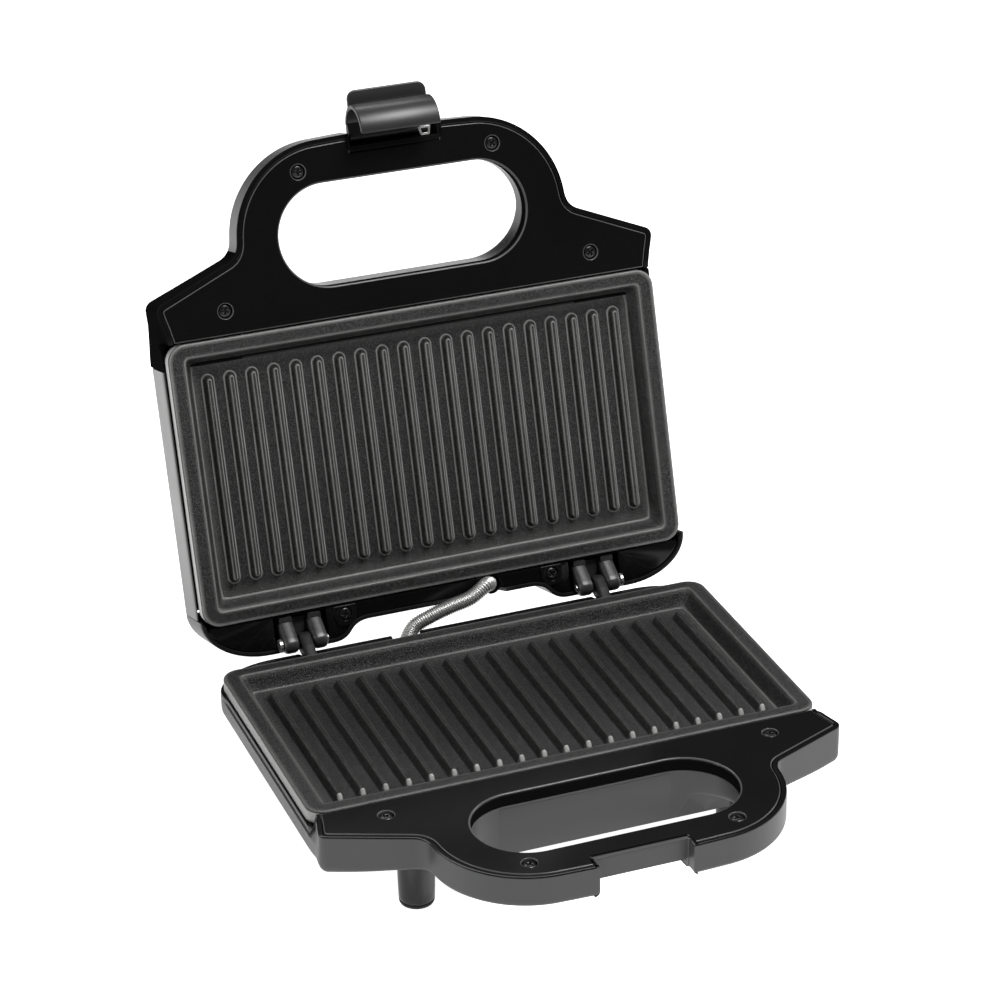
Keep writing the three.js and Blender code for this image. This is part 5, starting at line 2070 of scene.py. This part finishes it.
@dataclass
class Foot:
    """A tapered foot with a rubber pad."""

    place: Point
    node: str
    top: float = 18.0
    radius: float = 8.1
    level: float = MATING_LEVEL

    def build(self) -> list[bpy.types.Object]:
        """Builds the post and the pad.

        Returns:
            The pieces.
        """
        x, y = self.place
        low = self.level - 2.3
        radius = self.radius
        post = [(0.0, self.top), (radius, self.top), (radius, self.top + 6), (radius - 0.25, low - 8),
                (radius - 0.45, low - 2.0), (radius - 0.5, low - 0.6), (radius - 0.7, low - 0.15),
                (radius - 1.1, low), (0.0, low)]
        form = Form()
        lathe(form, post, (x, y, 0.0), "Z", 48)
        piece = form.build(f"{self.node}_detail", Half.BASE, (SHADED_FOOT_SATIN,), 40.0)
        pieces = [finished(piece, "base", SHADED_FOOT_SATIN, self.node)]
        reach = self.radius - 0.55
        pad = [(0.0, low + 0.05), (reach - 0.3, low + 0.05), (reach, low + 0.25),
               (reach - 0.1, self.level - 1.3), (reach - 0.5, self.level - 0.5), (reach - 1.4, self.level),
               (0.0, self.level)]
        rubber = Form()
        lathe(rubber, pad, (x, y, 0.0), "Z", 48)
        node = self.node.replace("foot_", "foot_pad_")
        piece = rubber.build(f"{node}_detail", Half.BASE, (RUBBER,), 40.0)
        pieces.append(finished(piece, "base", RUBBER, node))
        return pieces


@dataclass
class WiringSleeve:
    """The close-wound spring round the wires between the halves."""

    radius: float = 3.5
    pitch: float = 1.05
    wire: float = 0.6
    in_lid: tuple[Place, ...] = ((20.5, 128.7, 15.0), (20.5, 128.75, 10.6), (20.4, 131.2, 3.6))
    between: tuple[Place, ...] = ((16.6, 142.4, 8.7), (8.3, 139.6, 5.4), (-1.8, 139.0, 3.2),
                                  (-11.4, 139.2, 0.1), (-19.2, 139.8, -4.0))
    in_base: tuple[Place, ...] = ((-24.0, 136.4, -8.8), (-24.6, 132.6, -10.6))

    def route(self) -> list[Vector]:
        """The sleeve's centreline in the row frame, in metres, close-spaced.

        Returns:
            The points, from the lid to the base.
        """
        model = Matrix.Scale(MM, 4) @ Matrix.Translation((0, -PLATE_EDGE_ROW, MATING_LEVEL))
        knots = [Half.LID.frame() @ Vector(place) for place in self.in_lid]
        knots += [model @ Vector(place) for place in self.between + self.in_base]
        found: list[Vector] = []
        for index in range(len(knots) - 1):
            before = knots[max(0, index - 1)]
            start, end = knots[index], knots[index + 1]
            after = knots[min(len(knots) - 1, index + 2)]
            for step in range(24):
                found.append(self.between_knots(before, start, end, after, step / 24))
        return found + [knots[-1]]

    @staticmethod
    def between_knots(before: Vector, start: Vector, end: Vector, after: Vector, share: float) -> Vector:
        """A point of a centripetal curve between two knots.

        Args:
            before: The knot before the stretch.
            start: The stretch's first knot.
            end: The stretch's last knot.
            after: The knot after the stretch.
            share: Where to read it, from 0 to 1.

        Returns:
            The point.
        """
        gap0 = max((start - before).length ** 0.5, 1e-6) if start != before else (end - start).length ** 0.5
        gap1 = (end - start).length ** 0.5
        gap2 = max((after - end).length ** 0.5, 1e-6) if after != end else gap1
        left = ((start - before) / gap0 - (end - before) / (gap0 + gap1) + (end - start) / gap1) * gap1
        right = ((end - start) / gap1 - (after - start) / (gap1 + gap2) + (after - end) / gap2) * gap1
        if start == before:
            left = end - start
        if after == end:
            right = end - start
        t, t2, t3 = share, share ** 2, share ** 3
        return (start * (2 * t3 - 3 * t2 + 1) + left * (t3 - 2 * t2 + t) + end * (3 * t2 - 2 * t3)
                + right * (t3 - t2))

    def build(self) -> bpy.types.Object:
        """Builds the spring as a tube whose skin follows the wound wire.

        Returns:
            The finished sleeve.
        """
        line = self.route()
        lengths = [0.0]
        for before, after in zip(line, line[1:]):
            lengths.append(lengths[-1] + (after - before).length)
        total = lengths[-1]
        turns = total / (self.pitch * MM)
        steps = int(turns * 8)
        form = Form()
        rings = []
        side = Vector((0.0, 1.0, 0.0))
        for step in range(steps + 1):
            reach = total * step / steps
            index = min(len(line) - 2, max(0, bisect.bisect(lengths, reach) - 1))
            span = lengths[index + 1] - lengths[index]
            spot = line[index].lerp(line[index + 1], (reach - lengths[index]) / span)
            ahead = (line[min(index + 2, len(line) - 1)] - line[max(index - 1, 0)]).normalized()
            side = (side - ahead * side.dot(ahead)).normalized()
            up = ahead.cross(side)
            ring = []
            for flat in range(28):
                angle = 2 * math.pi * flat / 28
                phase = reach / (self.pitch * MM) - flat / 28
                wave = abs(math.sin(math.pi * phase))
                radius = (self.radius - self.wire * (1 - wave) - 0.02) * MM
                ring.append(tuple(spot + (side * math.cos(angle) + up * math.sin(angle)) * radius))
            rings.append(form.ring(ring))
        form.stack(rings)
        form.fan(rings[0], tuple(line[0]))
        form.fan(rings[-1], tuple(line[-1]))
        mesh = bpy.data.meshes.new("wiring_sleeve")
        mesh.from_pydata(form.places, [], form.faces)
        mesh.materials.append(SPRING.material())
        mesh.shade_smooth()
        piece = bpy.data.objects.new("wiring_sleeve", mesh)
        bpy.context.scene.collection.objects.link(piece)
        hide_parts("wiring_conduit")
        tuple(line[24])
        [tuple(place) for place in line[::4] + [line[-1]]]
        tuple(line[48])
        tuple(line[-24])
        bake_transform(piece)
        LOG.info("wiring_sleeve: %.1f mm long, %d faces", total / MM, len(mesh.polygons))
        return piece


@dataclass
class SleeveGrommet:
    """The rubber block that holds the sleeve in the base's rear rim."""

    middle: float = SLEEVE_BASE_X
    reach: float = 4.6
    front: float = 134.8
    rear: float = 138.2
    top: float = 8.4
    low: float = 14.2

    def build(self) -> bpy.types.Object:
        """Builds the block.

        Returns:
            The finished grommet.
        """
        left, right = self.middle - self.reach, self.middle + self.reach
        form = Form()
        slab(form, rounded(oblong(left, self.front, right, self.rear, 1.0), 2.0), self.top, self.low, 0.6)
        piece = form.build("base_sleeve_grommet", Half.BASE, (RUBBER,), 40.0)
        return finished(piece, "base", RUBBER, "base_conduit_collar")


@dataclass
class LatchClip:
    """The bent spring wire beside the latch's hub."""

    place: Point = (14.8, -76.9)
    wide: float = 3.1
    tall: float = 2.1
    wire: float = 0.7

    def build(self) -> bpy.types.Object:
        """Builds the wire as a flat loop.

        Returns:
            The finished clip.
        """
        x, y = self.place
        outer = [(x - self.wide, y - self.tall, 0.8), (x + self.wide, y - self.tall, 0.8),
                 (x + self.wide * 0.7, y + self.tall, 0.8), (x - self.wide * 0.6, y + self.tall, 0.8)]
        inner = [(x + (a - x) * 0.62, y + (b - y) * 0.5, 0.5) for a, b, _ in outer]
        form = Form()
        slab(form, rounded(outer, 1.0), 0.2, 0.2 + self.wire, 0.3, holes=[rounded(inner, 1.0)])
        piece = form.build("latch_spring_clip", Half.LID, (ZINC,), 40.0)
        return finished(piece, "lid", ZINC)


# ---- what stays from the frame ----


def dress_frame(nodes: dict[str, bpy.types.Object]) -> None:
    """Gives the solids that stay visible a finish of their own.

    Args:
        nodes: The frame's solids by name.
    """
    rules = (("heating_element", ZINC), ("heat_shield", SHIELD_STEEL), ("thermostat", ZINC),
             ("terminal", CERAMIC), ("collar", RUBBER), ("gland", RUBBER), ("power_lens", RED_LENS),
             ("ready_lens", GREEN_LENS), ("latch_pin", SCREW_STEEL), ("hinge_pin", ZINC),
             ("plate_screw", SCREW_STEEL))
    for name, node in nodes.items():
        for key, finish in rules:
            if key in name:
                node.data.materials.clear()
                node.data.materials.append(finish.material())
                LOG.info("%s keeps its shape, in %s", name, finish.name)


# ---- studio ----


@dataclass
class Studio:
    """Floor, lights and camera."""

    camera_place: Place = (-0.47189, -1.21851, 0.79918)
    ahead: Place = (0.31992842, 0.83271303, -0.45192346)
    down: Place = (-0.17290564, -0.417667, -0.89199659)
    lens: float = 124.35
    paper_glow: float = 0.62
    paper_lift: float = 0.4

    def camera(self) -> None:
        """Sets the camera."""
        data = bpy.data.cameras.new("studio_camera")
        data.lens = self.lens
        data.sensor_width = 36.0
        data.clip_start = 0.05
        camera = bpy.data.objects.new("studio_camera", data)
        back = -Vector(self.ahead).normalized()
        up = -Vector(self.down)
        right = up.cross(back).normalized()
        up = back.cross(right)
        turn = Matrix((right, up, back)).transposed().to_4x4()
        camera.matrix_world = Matrix.Translation(self.camera_place) @ turn
        bpy.context.scene.collection.objects.link(camera)
        bpy.context.scene.camera = camera

    def floor(self) -> None:
        """Lays a wide sheet of pale paper."""
        paper = bpy.data.materials.new("floor_paper")
        paper.use_nodes = True
        shader = paper.node_tree.nodes["Principled BSDF"]
        shader.inputs["Base Color"].default_value = (0.8, 0.8, 0.8, 1.0)
        shader.inputs["Roughness"].default_value = 0.9
        shader.inputs["Specular IOR Level"].default_value = 0.0
        shader.inputs["Emission Color"].default_value = (1.0, 1.0, 1.0, 1.0)
        net = Net(paper.node_tree)
        seen = net.node("ShaderNodeLightPath").outputs["Is Camera Ray"]
        glow = net.math("ADD", net.math("MULTIPLY", seen, self.paper_lift), self.paper_glow)
        net.join(glow, shader.inputs["Emission Strength"])
        mesh = bpy.data.meshes.new("studio_floor")
        reach = 9.0
        mesh.from_pydata([(-reach, -reach, 0), (reach, -reach, 0), (reach, reach, 0), (-reach, reach, 0)], [],
                         [(0, 1, 2, 3)])
        mesh.materials.append(paper)
        floor = bpy.data.objects.new("studio_floor", mesh)
        bpy.context.scene.collection.objects.link(floor)

    def softbox(self, name: str, place: Place, aim: Place, size: Point, power: float) -> None:
        """Hangs one soft light.

        Args:
            name: The light's name.
            place: Where it hangs.
            aim: What it faces.
            size: Width and height.
            power: Watts.
        """
        data = bpy.data.lights.new(name, "AREA")
        data.shape = "RECTANGLE"
        data.size, data.size_y = size
        data.energy = power
        light = bpy.data.objects.new(name, data)
        light.location = place
        light.rotation_euler = (Vector(aim) - Vector(place)).to_track_quat("-Z", "Y").to_euler()
        bpy.context.scene.collection.objects.link(light)

    def lights(self) -> None:
        """Hangs the overhead, side and rear softboxes and a dim surround."""
        world = bpy.data.worlds.new("studio_surround")
        world.use_nodes = True
        surround = world.node_tree.nodes["Background"]
        surround.inputs["Color"].default_value = (1.0, 1.0, 1.0, 1.0)
        surround.inputs["Strength"].default_value = 0.05
        bpy.context.scene.world = world
        target = (0.0, 0.0, 0.08)
        self.softbox("overhead_softbox", (0.55, -0.45, 1.8), target, (0.85, 0.65), 34.0)
        self.softbox("left_softbox", (-2.0, -0.1, 0.7), target, (0.5, 1.2), 9.0)
        self.softbox("rear_softbox", (0.1, 1.6, 1.9), target, (1.8, 0.4), 14.0)
        self.softbox("right_softbox", (1.9, 0.1, 0.9), target, (0.5, 1.0), 8.0)

    def build(self) -> None:
        """Sets up the whole studio."""
        self.camera()
        self.floor()
        self.lights()
        bpy.context.scene.view_settings.view_transform = "Standard"


def main() -> None:
    """Builds the press around the frame, in order."""
    logging.basicConfig(level=logging.INFO, format="%(message)s")
    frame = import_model()
    Studio().build()
    WiringSleeve().build()
    for half in Half:
        GrillPlate(half).build()
        HandleFace(half).build()
    BaseHousing().build("base_housing_detail", "base_housing")
    LidFrontShell().build("lid_front_shell_detail", "lid_front_shell")
    LidRearShell().build()
    LidCover().build()
    Latch().build()
    LatchClip().build()
    SleeveGrommet().build()
    for side in (-1, 1):
        Hinge(side).build()
    for row, y in FOOT_ROWS.items():
        for side, x in (("left", FOOT_X), ("right", -FOOT_X)):
            Foot((x, y), f"foot_{row}_{side}").build()
    dress_frame(frame["nodes"])


if __name__ == "__main__":
    main()
